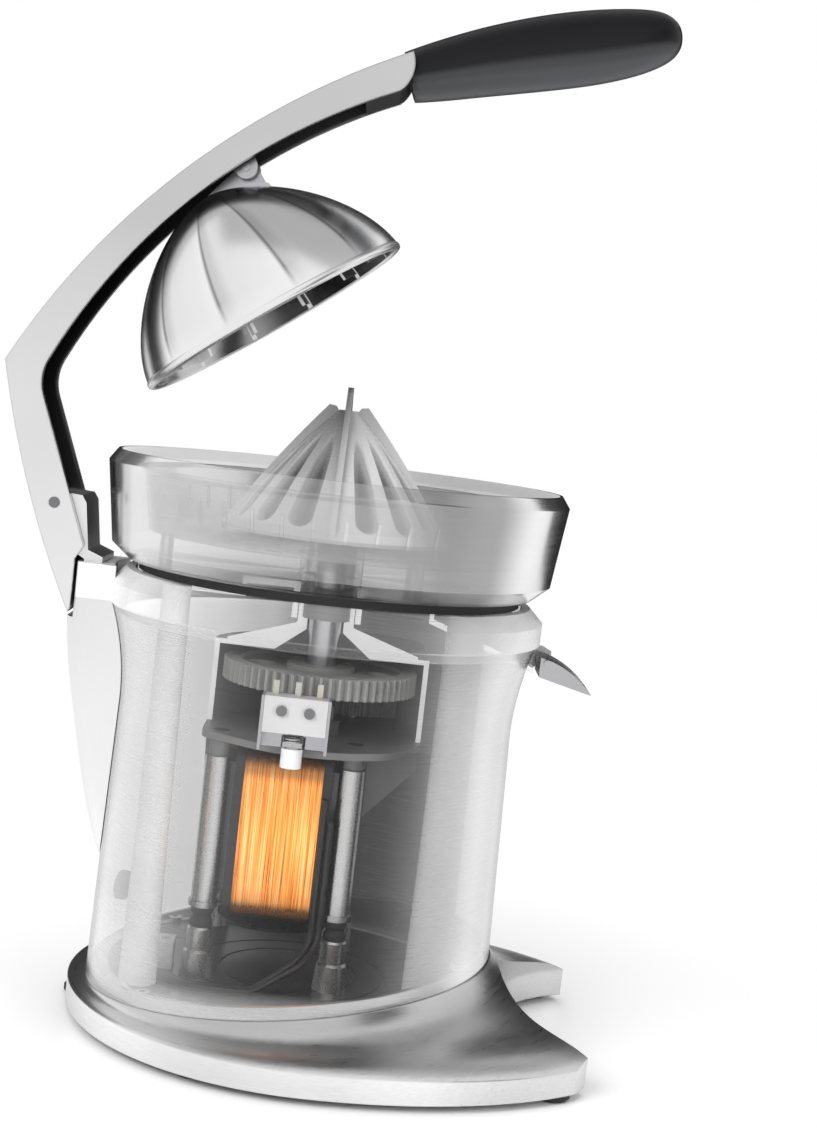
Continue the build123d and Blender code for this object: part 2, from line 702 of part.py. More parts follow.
def hinge_bracket():
    """The tower that carries the lever: its foot goes down through the ring into the spine."""
    front = BLOCK_REAR + SPINE_WALL + SEAT_GAP + TOWER_DEPTH
    rear = front - TOWER_DEPTH
    side = LEVER_WIDTH / 2 - LEVER_WALL - SEAT_GAP
    profile = outline(
        (rear, RING_TOP - TOWER_ROOT),
        (front, RING_TOP - TOWER_ROOT),
        (front, RING_TOP + 2.5),
        (front - 6.5, RING_TOP + 5),
        (PIVOT_X + 13, PIVOT_Z + 1),
        (PIVOT_X + 11, PIVOT_Z + 4),
        (PIVOT_X, PIVOT_Z + KNUCKLE_RADIUS),
        (PIVOT_X - KNUCKLE_RADIUS, PIVOT_Z),
        (PIVOT_X + 7.5, RING_TOP + 5),
        (rear, RING_TOP + 1),
    )
    tower = sideways(profile + Pos(PIVOT_X, PIVOT_Z) * Circle(KNUCKLE_RADIUS), -side, side)
    tower -= cross_rod(KNUCKLE_RADIUS + 2, -7, 7, (PIVOT_X, PIVOT_Z))
    for wide in (-side - 1, FOOT_HALF_WIDTH):
        low, high = (rear - 1, wide, 0), (front + 1, wide + side + 1 - FOOT_HALF_WIDTH, RING_TOP)
        tower -= block(low, high)
    return tower - cross_rod(PIN_RADIUS + RUNNING_GAP, -side - 1, side + 1, (PIVOT_X, PIVOT_Z))


def arm_pin():
    return cross_rod(PIN_RADIUS, -LEVER_WIDTH / 2, LEVER_WIDTH / 2, (PIVOT_X, PIVOT_Z))


def arm_spring():
    """A close-wound spring on the pin, with one leg up against the lever's back."""
    wire = 1.2
    inner = PIN_RADIUS + SEAT_GAP
    turns = 5
    path = [(inner, -turns * wire / 2)]
    for turn in range(turns):
        low = (turn - turns / 2) * wire
        path.append((inner + wire * 0.7, low))
        path.append((inner + wire, low + wire / 2))
    path.append((inner + wire * 0.7, turns * wire / 2))
    path.append((inner, turns * wire / 2))
    coil = Rot(90, 0, 0) * turned(*path)
    leg = Pos(-inner - wire / 2, 0, 6.5) * Cylinder(wire / 2 - 0.1, 11)
    return Pos(PIVOT_X, 0, PIVOT_Z) * (coil + leg)


# Pressing dome, drawn with the lever down and then carried up
def carried_up(solid):
    """What the lever carries, swung up to where the lever is raised."""
    about = Pos(PIVOT_X, 0, PIVOT_Z)
    return about * Rot(0, -LEVER_SWING, 0) * Pos(-PIVOT_X, 0, -PIVOT_Z) * solid


DOME_RIM = PIVOT_Z + DOME_DROP - DOME_PIN_RISE
DOME_PIN = (DOME_PIN_FORWARD, DOME_RIM + DOME_PIN_RISE)
DOME_CURVE = 1.6  # 2 would be an ellipse, 1 a plain cone


def dome_curve(radius, height):
    """Points of the dome's profile from the rim to the axis."""
    points = []
    for step in range(9):
        share = math.sin(math.radians(step * 90 / 8))
        points.append((radius * (1 - share**DOME_CURVE) ** (1 / DOME_CURVE), DOME_RIM + height * share))
    return points


def dome_form(radius, height):
    points = dome_curve(radius, height)
    edge = Spline(*points)
    return revolve(Plane.XZ * make_face([edge, Line(points[-1], (0, DOME_RIM)), Line((0, DOME_RIM), points[0])]), Axis.Z)


def press_dome():
    """The dome: a thick rim and ribs that grip the fruit's skin."""
    inner_radius = DOME_RADIUS - DOME_WALL - 2
    inner_height = DOME_HEIGHT - DOME_WALL
    cavity = dome_form(inner_radius, inner_height)
    core = dome_form(inner_radius - DOME_RIB_DEPTH, inner_height - 2)
    rib = block((0, -0.8, DOME_RIM + 2), (DOME_RADIUS - 3, 0.8, DOME_RIM + inner_height - 4))
    ribs = (rib & cavity) - core
    dome = dome_form(DOME_RADIUS, DOME_HEIGHT) - cavity
    for turn in range(DOME_RIBS):
        dome += Rot(0, 0, turn * 360 / DOME_RIBS + 15) * ribs
    return carried_up(dome)


def dome_hanger():
    """The saddle on top of the dome, with the knuckle for its pin."""
    half = CLEVIS_GAP / 2 - SEAT_GAP
    pin_x, pin_z = DOME_PIN
    web = outline((pin_x - 30, pin_z - 12), (pin_x - 22, pin_z - 2), (pin_x, pin_z + 3), (pin_x + 4, pin_z), (pin_x + 4, pin_z - 14))
    hanger = sideways(web, -2, 2) + cross_rod(4.2, -half, half, DOME_PIN)
    hanger += block((pin_x - 30, -6, DOME_RIM + 30), (pin_x + 5, 6, pin_z - 6)) & dome_form(DOME_RADIUS + 1.6, DOME_HEIGHT + 1.6)
    hanger -= dome_form(DOME_RADIUS, DOME_HEIGHT)
    return carried_up(hanger - cross_rod(DOME_PIN_RADIUS + RUNNING_GAP, -half - 1, half + 1, DOME_PIN))


def dome_clevis():
    """Two lugs inside the lever that hold the dome's pin."""
    pin_x, pin_z = DOME_PIN
    inner = CLEVIS_GAP / 2
    lug = outline((pin_x - 5, pin_z), (pin_x + 5, pin_z), (pin_x + 9, pin_z + 30), (pin_x - 9, pin_z + 30))
    lug += Pos(*DOME_PIN) * Circle(5)
    lugs = sideways(lug, -inner - 3, -inner) + sideways(lug, inner, inner + 3)
    lugs -= cross_rod(DOME_PIN_RADIUS + RUNNING_GAP, -30, 30, DOME_PIN)
    channel = sideways(lever_channel(), -LEVER_WIDTH, LEVER_WIDTH)
    return carried_up(lugs) & channel


def dome_pin():
    reach = CLEVIS_GAP / 2 + 4
    return carried_up(cross_rod(DOME_PIN_RADIUS, -reach, reach, DOME_PIN))


# Spout
SPOUT_PIVOT = (RING_RADIUS + 3.5, DECK - TROUGH_DEPTH + 5)


def spout():
    """The chute that tips up to stop the drips."""
    half = TROUGH_HALF_WIDTH - SEAT_GAP
    near = RING_RADIUS + 2 * SEAT_GAP
    tip = near + SPOUT_REACH - 1
    floor = DECK - TROUGH_DEPTH - 1.5
    side = outline(
        (near, floor),
        (near, floor + 8.5),
        (near + 4, floor + 7.6),
        ((near + 11.5, floor + 4.4), (tip, floor - 5.6)),
        (tip - 3, floor - 5),
    )
    within = outline((near - 1, floor + SPOUT_WALL), (near - 1, floor + 20), (tip + 5, floor + 20), (tip + 5, floor - 4.9), (tip, floor - 4.9), (tip - 3, floor - 5 + SPOUT_WALL))
    chute = sideways(side, -half, half) - sideways(within, -half + SPOUT_WALL, half - SPOUT_WALL)
    return chute - cross_rod(SPOUT_PIN_RADIUS + RUNNING_GAP, -half - 1, half + 1, SPOUT_PIVOT)


def spout_ears():
    """The trough's sides run on past the body and hold the spout's pin."""
    side = TROUGH_HALF_WIDTH
    low = DECK - TROUGH_DEPTH - TROUGH_WALL
    ear = outline((RING_RADIUS - 2, low + 1), (RING_RADIUS + 3, low + 2), (RING_RADIUS + 7, low + 6), (RING_RADIUS + 7, low + 9), (RING_RADIUS + 3, low + 11), (RING_RADIUS - 2, low + 11))
    return sideways(ear, -side - TROUGH_WALL, -side) + sideways(ear, side, side + TROUGH_WALL)


def spout_pin():
    """Two stubs, one in each ear, that leave the channel free."""
    outer = TROUGH_HALF_WIDTH + TROUGH_WALL
    inner = TROUGH_HALF_WIDTH - SEAT_GAP - SPOUT_WALL
    stub = cross_rod(SPOUT_PIN_RADIUS, inner, outer, SPOUT_PIVOT)
    return group([stub, mirror(stub, Plane.XZ)])


# Gear train
def gear_face(teeth, module, turn):
    """An involute gear; turn is the direction of one of its teeth, in degrees."""
    pitch = module * teeth / 2
    pressure = math.radians(PRESSURE_ANGLE)
    base = pitch * math.cos(pressure)
    at_pitch = math.pi / (2 * teeth) - BACKLASH / (4 * pitch) + math.tan(pressure) - pressure
    corners = []
    for tooth in range(teeth):
        middle = math.radians(turn) + 2 * math.pi * tooth / teeth
        for side, radii in ((-1, (-1.2, 0, 0.9)), (1, (0.9, 0, -1.2))):
            for height in radii:
                radius = pitch + height * module
                angle = math.acos(min(1, base / radius))
                half = at_pitch - math.tan(angle) + angle
                corners.append(polar(radius, math.degrees(middle + side * half)))
    return make_face(Polyline(*corners, close=True))


def meshing_turn(teeth, turn, direction, other_teeth):
    """The direction of a tooth of a gear that meshes at direction with one whose tooth is at turn."""
    behind = teeth * (turn - direction) + 180
    return direction + 180 - behind / other_teeth


OUTPUT_LOW = PLATE_TOP + 21
IDLER_LOW = PLATE_TOP + 5
OUTPUT_TURN = 0.0
PINION_TURN = meshing_turn(OUTPUT_TEETH, OUTPUT_TURN, IDLER_ANGLE, PINION_TEETH)
MOTOR_TURN = meshing_turn(IDLER_TEETH, 0.0, MOTOR_ANGLE, MOTOR_TEETH)
CUP_RADIUS = 8.0
CUP_LOW = PLATE_TOP + 4.5
LINK_HIGH = PLATE_TOP + 8.5
LINK_LOW = PLATE_TOP + 3
AXLE_RADIUS = 3.0
SOCKET_LOW = CUP_LOW + 3


def output_gear():
    low = OUTPUT_LOW
    gear = raised(gear_face(OUTPUT_TEETH, COARSE_MODULE, OUTPUT_TURN), low, low + GEAR_WIDTH)
    for side in (low - 1, low + GEAR_WIDTH - 2):
        gear -= tube(OUTPUT_PITCH - 6, 15, side, side + 3)
    gear -= PolarLocations(26, 6) * rod(6, low - 1, low + GEAR_WIDTH + 1)
    return gear - rod(SPINDLE_RADIUS, low - 1, low + GEAR_WIDTH + 1)


def drive_spindle():
    """The shaft from the thrust cup up to the hexagon that drives the cone."""
    top = CONE_BASE + 34
    step = SOCKET_LOW + 6
    shaft = rod(THRUST_RADIUS, SOCKET_LOW, step + 1)
    shaft += rod(SPINDLE_RADIUS, step, BOWL_FLOOR + CHIMNEY_HEIGHT)
    return shaft + raised(RegularPolygon(SPINDLE_RADIUS, 6), BOWL_FLOOR + CHIMNEY_HEIGHT, top)


def spindle_bush():
    low = DECK - BUSH_LENGTH
    return tube(NECK_BORE, SPINDLE_RADIUS + RUNNING_GAP, low, DECK - 2)


def spindle_seal():
    inner = SPINDLE_RADIUS + RUNNING_GAP
    return tube(NECK_RADIUS, inner, DECK - 2, DECK + 1.5)


def thrust_cup():
    cup = rod(CUP_RADIUS, CUP_LOW, SOCKET_LOW + 5)
    return cup - rod(THRUST_RADIUS + RUNNING_GAP, SOCKET_LOW, SOCKET_LOW + 6)


def press_spring():
    """A wave washer under the thrust cup."""
    spring = tube(CUP_RADIUS - 0.5, THRUST_RADIUS + 1, PLATE_TOP + 0.3, CUP_LOW - 0.3)
    for turn in range(3):
        height = PLATE_TOP + 1.2 + turn * 1.1
        spring -= tube(CUP_RADIUS, CUP_RADIUS - 1.2, height, height + 0.5)
    return spring


def plunger_link():
    """The bar that carries the cup's travel out to the switch, stepped down inside the case."""
    end = -SWITCH_OFFSET - 4
    middle = SWITCH_MIDDLE
    bar = block((middle - 4, -24, LINK_HIGH), (middle + 4, 0, LINK_HIGH + 2))
    bar += block((middle - 4, -24, LINK_LOW), (middle + 4, -22, LINK_HIGH + 2))
    bar += block((middle - 4, end, LINK_LOW), (middle + 4, -22, LINK_LOW + 2))
    return bar - rod(CUP_RADIUS, PLATE, CASE_ROOF)


def switch_plunger():
    place = (SWITCH_MIDDLE, -SWITCH_OFFSET)
    cap = rod(4.4, LINK_LOW - 9, LINK_LOW - 1, place) + rod(2.6, LINK_LOW - 2, LINK_LOW, place)
    return cap - rod(3.2, LINK_LOW - 10, LINK_LOW - 4, place)


def idler_gear():
    """The fine gear that the motor drives, and the coarse pinion above it, in one piece."""
    low = IDLER_LOW
    top = OUTPUT_LOW + GEAR_WIDTH + 0.5
    gear = raised(gear_face(IDLER_TEETH, FINE_MODULE, 0), low, low + GEAR_WIDTH + 1)
    gear -= tube(IDLER_PITCH - 4, 11, low + GEAR_WIDTH - 2, low + GEAR_WIDTH + 2)
    gear += raised(gear_face(PINION_TEETH, COARSE_MODULE, PINION_TURN), low + 1, top)
    gear -= rod(AXLE_RADIUS + RUNNING_GAP, low - 1, top + 1)
    return Pos(*IDLER) * gear


def idler_axle():
    return rod(AXLE_RADIUS, PLATE + 0.5, CASE_ROOF - CASE_WALL - 0.5, IDLER)


def motor_pinion():
    pinion = raised(gear_face(MOTOR_TEETH, FINE_MODULE, MOTOR_TURN), IDLER_LOW, IDLER_LOW + GEAR_WIDTH + 1)
    return Pos(*MOTOR) * (pinion - rod(SHAFT_RADIUS - 0.5, IDLER_LOW - 1, IDLER_LOW + 20))


def case_plan(growth):
    """The case seen from above: a round for the output gear and a lobe for the idler."""
    plan = Circle(CASE_BORE + growth) + Pos(*IDLER) * Circle(IDLER_BORE + growth)
    return plan


def link_slot():
    middle = SWITCH_MIDDLE
    return block(
        (middle - 5, -SWITCH_OFFSET + 2, PLATE_TOP + 0.5), (middle + 5, -CASE_BORE + 8, LINK_LOW + 3)
    )


def gearbox_case():
    """The cover over the gears: neck round the bush, gussets, and a pad for the switch."""
    roof = CASE_ROOF
    wall = CASE_WALL
    case = raised(case_plan(wall), PLATE_TOP, roof)
    case += turned((0, roof - 1), (CASE_BORE - 22, roof - 1), (CASE_BORE - 22, roof + 1), (NECK_RADIUS, roof + 11), (NECK_RADIUS, DECK - 2), (0, DECK - 2))
    gusset = outline((NECK_RADIUS - 1, roof - 1), (CASE_BORE - 3, roof - 1), (CASE_BORE - 3, roof + 1), (NECK_RADIUS - 1, roof + 11))
    for turn in (0, 135, 180, 225, 315):
        case += Rot(0, 0, turn) * sideways(gusset, -1, 1)
    middle = SWITCH_MIDDLE
    pad_face = -SWITCH_OFFSET + SWITCH_DEPTH / 2 + 1.8
    case += block((middle - 10, pad_face, PLATE_TOP), (middle + 10, -CASE_BORE + 6, LINK_LOW + 19))
    case -= raised(case_plan(0), PLATE_TOP - 1, roof - wall)
    case -= turned((0, roof - wall - 1), (CASE_BORE - 24, roof - wall - 1), (CASE_BORE - 24, roof - wall), (SPINDLE_RADIUS + 0.8, roof + 8), (SPINDLE_RADIUS + 0.8, DECK), (0, DECK))
    case -= rod(NECK_BORE, DECK - BUSH_LENGTH, DECK)
    case += tube(AXLE_RADIUS + 2, AXLE_RADIUS, roof - wall - 2.5, roof - wall + 1, IDLER)
    return case - link_slot()


def ear_places():
    """The four screw ears of the gearbox, over the motor's sleeves."""
    front = core_front() - POST_FRONT
    rear = MOTOR[1] + STACK_REAR + POST_FRONT
    side = STACK_HALF_LENGTH - 4
    return [(MOTOR[0] + x, y) for x in (-side, side) for y in (front, rear)]


def gearbox_plate():
    """The plate under the gears: bearing bosses, cup guide, screw bosses and gussets."""
    plan = Circle(CASE_BORE + CASE_WALL) + Pos(*IDLER) * Circle(IDLER_BORE + CASE_WALL)
    for x, y in ear_places():
        plan += Pos(x, y) * Circle(8)
    plan = make_hull(plan.edges())
    plate = raised(plan, PLATE, PLATE_TOP)
    plate += tube(CUP_RADIUS + RUNNING_GAP + 3, CUP_RADIUS + RUNNING_GAP, PLATE_TOP, PLATE_TOP + 6)
    for place in ear_places():
        plate += rod(4.2, PLATE - 8, PLATE, place)
        plate -= rod(SCREW_HEAD + RUNNING_GAP, PLATE_TOP - 2, PLATE_TOP + 1, place)
    edge = CASE_BORE + CASE_WALL - 1
    right = MOTOR[0] + STACK_HALF_LENGTH + 2
    left = MOTOR[0] - STACK_HALF_LENGTH - SEAT_GAP
    for web in (
        outline((right, PLATE), (edge, PLATE), (edge, PLATE - 8), (right, PLATE - 31)),
        outline((-edge, PLATE), (left, PLATE), (left, PLATE - 31), (left - 1.5, PLATE - 31)),
    ):
        plate += sideways(web, -9, -7)
    plate -= rod(BEARING_RADIUS + RUNNING_GAP, PLATE - 1, PLATE_TOP + 1, MOTOR)
    plate -= rod(AXLE_RADIUS, PLATE + 0.5, PLATE_TOP + 1, IDLER)
    return plate


def gearbox_screws():
    """Countersunk heads, level with the plate's top under the case's rim."""
    return group(rod(SCREW_HEAD, PLATE_TOP - 2, PLATE_TOP, place) for place in ear_places())


# Motor
def core_front():
    """The front face of the core's leg, in Y."""
    return MOTOR[1] - ROTOR_RADIUS - AIR_GAP - 4 - WINDOW_WIDTH - CORE_LEG


def stator_core():
    """The laminated frame: a leg through the coil and two poles round the rotor."""
    left, right = MOTOR[0] - STACK_HALF_LENGTH, MOTOR[0] + STACK_HALF_LENGTH
    front, rear = core_front(), MOTOR[1] + STACK_REAR
    plan = Pos(MOTOR[0], (front + rear) / 2) * Rectangle(right - left, rear - front)
    window = (front + CORE_LEG, front + CORE_LEG + WINDOW_WIDTH)
    half = STACK_HALF_LENGTH - 11.5
    plan -= Pos(MOTOR[0], (window[0] + window[1]) / 2) * Rectangle(2 * half, WINDOW_WIDTH)
    plan -= Pos(*MOTOR) * Circle(ROTOR_RADIUS + AIR_GAP)
    return raised(plan, STACK_FOOT, STACK_TOP)


def shading_rings():
    """Copper bars set in the pole faces, over and under the core."""
    places = [(MOTOR[0] + side * 22, MOTOR[1] + 9 * side) for side in (-1, 1)]
    rings = []
    for x, y in places:
        for low in (STACK_FOOT - 1.6, STACK_TOP):
            rings.append(block((x - 5, y - 6, low), (x + 5, y + 6, low + 1.6)))
    return group(rings)


def winding_spans(growth):
    """The rectangle that the spool's tube wraps: the core's leg, with room all round."""
    front = core_front()
    return (front - growth, front + CORE_LEG + growth), (STACK_FOOT - growth, STACK_TOP + growth)


def coil_place():
    return MOTOR[0] - WINDING_LENGTH / 2, MOTOR[0] + WINDING_LENGTH / 2


def wound(growth):
    """A rounded section across the leg, growth beyond it, along the coil."""
    (front, rear), (low, high) = winding_spans(growth)
    corner = max(growth * 0.8, 0.3)
    return Pos((front + rear) / 2, (low + high) / 2) * RectangleRounded(rear - front, high - low, corner)


def along_coil(face, start, end):
    return extrude(Plane(origin=(start, 0, 0), x_dir=(0, 1, 0), z_dir=(1, 0, 0)) * face, end - start)


def main_winding():
    start, end = coil_place()
    inner = SEAT_GAP + BOBBIN_WALL
    solid = along_coil(wound(inner + 8.3) - wound(inner), start, end)
    window = core_front() + CORE_LEG + WINDOW_WIDTH - 0.6
    return solid - block((start - 1, window, 0), (end + 1, window + 30, 300))


def coil_bobbin():
    start, end = coil_place()
    spool = wound(SEAT_GAP + BOBBIN_WALL) - wound(SEAT_GAP)
    flange = wound(SEAT_GAP + BOBBIN_WALL + WINDING_DEPTH) - wound(SEAT_GAP)
    bobbin = along_coil(spool, start, end)
    bobbin += along_coil(flange, start - BOBBIN_FLANGE, start)
    bobbin += along_coil(flange, end, end + BOBBIN_FLANGE)
    window = core_front() + CORE_LEG + WINDOW_WIDTH - 0.3
    return bobbin - block((start - 9, window, 0), (end + 9, window + 30, 300))


def rotor_core():
    rotor = tube(ROTOR_RADIUS, SHAFT_RADIUS, STACK_FOOT + 0.5, STACK_TOP - 0.5, MOTOR)
    for low in (STACK_FOOT - 2, STACK_TOP - 0.5):
        rotor += tube(ROTOR_RADIUS - 1, SHAFT_RADIUS + 5, low, low + 2.5, MOTOR)
    return rotor


def motor_shaft():
    fan_low = STACK_FOOT - 23
    shaft = rod(SHAFT_RADIUS, fan_low, IDLER_LOW - 1.5, MOTOR)
    return shaft + rod(SHAFT_RADIUS - 0.5, IDLER_LOW - 1.5, IDLER_LOW + GEAR_WIDTH + 2, MOTOR)


def cooling_fan():
    low = STACK_FOOT - 22
    fan = tube(7, SHAFT_RADIUS, low, low + 9) + tube(FAN_RADIUS, 6.5, low, low + 1.2)
    blade = Pos(16.5, 0, low + 4.5) * Rot(0, 0, 24) * Box(19, 1.2, 9)
    for turn in range(FAN_BLADES):
        fan += Rot(0, 0, turn * 360 / FAN_BLADES) * blade
    return Pos(*MOTOR) * (fan & rod(FAN_RADIUS, low, low + 9))


def upper_bearing():
    return tube(BEARING_RADIUS, SHAFT_RADIUS + RUNNING_GAP, PLATE - 3, PLATE_TOP, MOTOR)


def lower_bearing():
    return tube(BEARING_RADIUS, SHAFT_RADIUS + RUNNING_GAP, CRADLE_TOP - 6, CRADLE_TOP, MOTOR)


def motor_cradle():
    """The plate under the core, with the lower bearing's boss and arms out to the sleeves."""
    low = CRADLE_TOP - 2.5
    plan = Pos(*MOTOR) * Rectangle(2 * STACK_HALF_LENGTH - 16, 22)
    for x, y in ear_places():
        plan += Pos(x, y) * Circle(POST_RADIUS + 1)
    for side in (0, 2):
        (x, front), (_, rear) = ear_places()[side : side + 2]
        plan += Pos(x, (front + rear) / 2) * Rectangle(9, rear - front)
    cradle = raised(plan, low, low + 2.5)
    cradle += tube(SHAFT_RADIUS + 6.5, BEARING_RADIUS + RUNNING_GAP, low - 3.5, low + 2.5, MOTOR)
    return cradle - rod(BEARING_RADIUS + RUNNING_GAP, low - 5, low + 3, MOTOR)


def sleeve_posts():
    """The metal sleeves that the motor's long screws pass through."""
    low = CRADLE_TOP
    return group(tube(POST_RADIUS, 2.2, low, PLATE - 8, place) for place in ear_places())


def post_grommets():
    low = CRADLE_TOP - 2.5 - GROMMET_HEIGHT
    grommet = turned((2.2, 0), (5, 0), (5, 2.5), (3.8, 4.5), (5, 6.5), (5, GROMMET_HEIGHT), (2.2, GROMMET_HEIGHT))
    return group(Pos(x, y, low) * grommet for x, y in ear_places())


def mount_posts():
    """The studs that stand on the floor and carry the motor through its grommets."""
    high = CRADLE_TOP - 2.5 - GROMMET_HEIGHT
    stud = turned((0, FLOOR), (7.5, FLOOR), (6.6, FLOOR + 11), (5.6, FLOOR + 12), (5.6, high - 1), (4.8, high), (0, high))
    return group(Pos(x, y, 0) * stud for x, y in ear_places())


# Switch
def switch_box():
    middle = SWITCH_MIDDLE
    half = SWITCH_LENGTH / 2
    rear = -SWITCH_OFFSET + SWITCH_DEPTH / 2
    low = LINK_LOW + 5.5
    return (middle - half, rear - SWITCH_DEPTH, low), (middle + half, rear, low + SWITCH_HEIGHT)


def switch_body():
    low, high = switch_box()
    body = block(low, high)
    return body + block((low[0] + 8, low[1] + 3.5, low[2] - 1), (low[0] + 11, high[1] - 3.5, low[2]))


def switch_terminals():
    low, high = switch_box()
    pins = []
    for share in (0.15, 0.5, 0.85):
        x = mix(low[0], high[0], share)
        y = (low[1] + high[1]) / 2
        pins.append(block((x - 1.2, y - 0.4, high[2]), (x + 1.2, y + 0.4, high[2] + 6)))
    return group(pins)


def switch_bracket():
    """A frame of sheet metal, fixed to the case's pad, that holds the switch by its ends."""
    low, high = switch_box()
    sheet = 1.2
    back = high[1] + SEAT_GAP
    frame = block((low[0] - sheet - 0.1, back, PLATE_TOP + 1), (high[0] + sheet + 0.1, back + sheet, high[2]))
    for start in (low[0] - sheet - 0.1, high[0] + 0.1):
        frame += block((start, low[1], PLATE_TOP + 1), (start + sheet, back + sheet, high[2]))
    return frame - link_slot()


def switch_screws():
    low, high = switch_box()
    screws = []
    for share in (0.28, 0.72):
        place = (mix(low[0], high[0], share), low[2] + SWITCH_HEIGHT * 0.62)
        screws.append(cross_rod(2.2, low[1] - 1.2, low[1], place))
    return group(screws)


# Wiring
def lead(points, radii):
    path = FilletPolyline(*points, radius=radii)
    return sweep(Plane(path @ 0, z_dir=path % 0) * Circle(LEAD_RADIUS), path=path)


def motor_leads():
    """The two insulated leads from the coil, round the front stud to the terminal block."""
    side = coil_place()[1] + BOBBIN_FLANGE / 2
    front = core_front() - SEAT_GAP - BOBBIN_WALL - WINDING_DEPTH - LEAD_RADIUS - 0.1
    floor = FLOOR + LEAD_RADIUS + 0.1
    leads = []
    for step in (0, 1):
        shift = (2 * LEAD_RADIUS + 0.4) * step
        points = (
            (side + shift, front, STACK_TOP - 10 - 9 * step),
            (side + shift, front, STACK_FOOT - 16),
            (side - 5 + shift, front - 7 - shift, FLOOR + 14),
            (side - 22, front - 13 - shift, floor),
            (-40, front - 12 - shift, floor),
            (-58 - shift, core_front() - 12, floor),
            (-57.5 - shift, core_front() - 4.5, floor + 3),
        )
        leads.append(lead(points, (10, 12, 12, 10, 3)))
    return group(leads)


def terminal_block():
    front = core_front() - 4
    body = block((-68, front, FLOOR), (-50, front + 12, FLOOR + 12))
    for step in range(3):
        body -= rod(2, FLOOR + 6, FLOOR + 13, (-64 + 5 * step, front + 6))
    return body


def support_column():
    """The hollow rib column inside the body's back."""
    return turned_column((-62, -38), 7)


def front_column():
    """The hollow column inside the body's front, beside the trough."""
    return turned_column((60, -34), 9)


def turned_column(place, radius):
    shaft = turned((radius - 2, FLOOR), (radius + 1, FLOOR), (radius, FLOOR + 60), (radius - 1, DECK), (radius - 3, DECK))
    return Pos(*place, 0) * shaft


def cord_bush():
    """The bush in the body's back that a mains cord would pass through."""
    bush = Cylinder(CORD_BORE + 3 - RUNNING_GAP, 8) + Pos(0, 0, 4) * Cylinder(CORD_BORE + 5, 2)
    bush -= Cylinder(CORD_BORE, 30)
    return Rot(0, 0, CORD_ANGLE) * Pos(BODY_RADIUS - 1, 0, CORD_HEIGHT) * Rot(0, 90, 0) * bush


NODES = {
    "base_skirt": base_skirt,
    "bottom_cover": bottom_cover,
    "rubber_feet": rubber_feet,
    "base_plate": base_plate,
    "base_screws": base_screws,
    "body_shell": body_shell,
    "top_ring": top_ring,
    "rear_spine": rear_spine,
    "deck": deck,
    "juice_bowl": juice_bowl,
    "bowl_gasket": bowl_gasket,
    "filter_basket": filter_basket,
    "cone": cone,
    "lever_arm": lever_arm,
    "grip": grip,
    "hinge_bracket": hinge_bracket,
    "arm_pin": arm_pin,
    "arm_spring": arm_spring,
    "press_dome": press_dome,
    "dome_hanger": dome_hanger,
    "dome_clevis": dome_clevis,
    "dome_pin": dome_pin,
    "spout": spout,
    "spout_pin": spout_pin,
    "drive_spindle": drive_spindle,
    "output_gear": output_gear,
    "spindle_bush": spindle_bush,
    "spindle_seal": spindle_seal,
    "thrust_cup": thrust_cup,
    "press_spring": press_spring,
    "plunger_link": plunger_link,
    "switch_plunger": switch_plunger,
    "idler_gear": idler_gear,
    "idler_axle": idler_axle,
    "motor_pinion": motor_pinion,
    "gearbox_case": gearbox_case,
    "gearbox_plate": gearbox_plate,
    "gearbox_screws": gearbox_screws,
    "stator_core": stator_core,
    "shading_rings": shading_rings,
    "main_winding": main_winding,
    "coil_bobbin": coil_bobbin,
    "rotor_core": rotor_core,
    "motor_shaft": motor_shaft,
    "cooling_fan": cooling_fan,
    "upper_bearing": upper_bearing,
    "lower_bearing": lower_bearing,
    "motor_cradle": motor_cradle,
    "sleeve_posts": sleeve_posts,
    "post_grommets": post_grommets,
    "mount_posts": mount_posts,
    "switch_body": switch_body,
    "switch_terminals": switch_terminals,
    "switch_bracket": switch_bracket,
    "switch_screws": switch_screws,
    "motor_leads": motor_leads,
    "terminal_block": terminal_block,
    "support_column": support_column,
    "front_column": front_column,
    "cord_bush": cord_bush,
}

os.makedirs("parts", exist_ok=True)
for name, make in NODES.items():
    export_step(Pos(BODY_AXIS, 0, 0) * make(), f"parts/{name}.step")
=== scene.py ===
"""Looks, studio and camera for the motor-driven lever citrus press.

Places in this file are millimetres about the upright axis of the press's round body: +Z is up from
the worktop, +X points to the spout and -Y to the camera. metres() takes them into the frame.
"""
import math

import bmesh
import bpy
from mathutils import Matrix, Vector


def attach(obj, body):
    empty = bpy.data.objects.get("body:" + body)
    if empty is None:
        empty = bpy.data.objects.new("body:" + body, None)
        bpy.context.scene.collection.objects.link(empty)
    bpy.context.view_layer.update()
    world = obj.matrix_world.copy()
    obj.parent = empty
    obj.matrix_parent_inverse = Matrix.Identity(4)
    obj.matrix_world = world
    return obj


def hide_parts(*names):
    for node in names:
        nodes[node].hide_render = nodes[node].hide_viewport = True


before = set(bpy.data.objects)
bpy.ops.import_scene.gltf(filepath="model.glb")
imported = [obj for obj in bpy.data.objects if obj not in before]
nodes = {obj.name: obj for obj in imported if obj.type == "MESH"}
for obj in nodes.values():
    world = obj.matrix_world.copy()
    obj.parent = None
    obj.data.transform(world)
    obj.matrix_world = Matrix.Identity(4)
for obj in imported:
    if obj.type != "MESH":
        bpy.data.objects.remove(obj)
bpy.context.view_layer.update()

# Places on the CAD model, in metres, or in millimetres about the body's axis where they go
# through metres()
BODY_AXIS = 0.006  # metres, in front of the frame's origin
FLOOR_RIM = 0.0797  # radius inside the pale rim round the floor in the body
LEVER_HALF_CHANNEL = 0.0168  # half the channel's width, a hair over
LEVER_MIDDLE = (60, 0, 230)  # a place inside the lever's bow
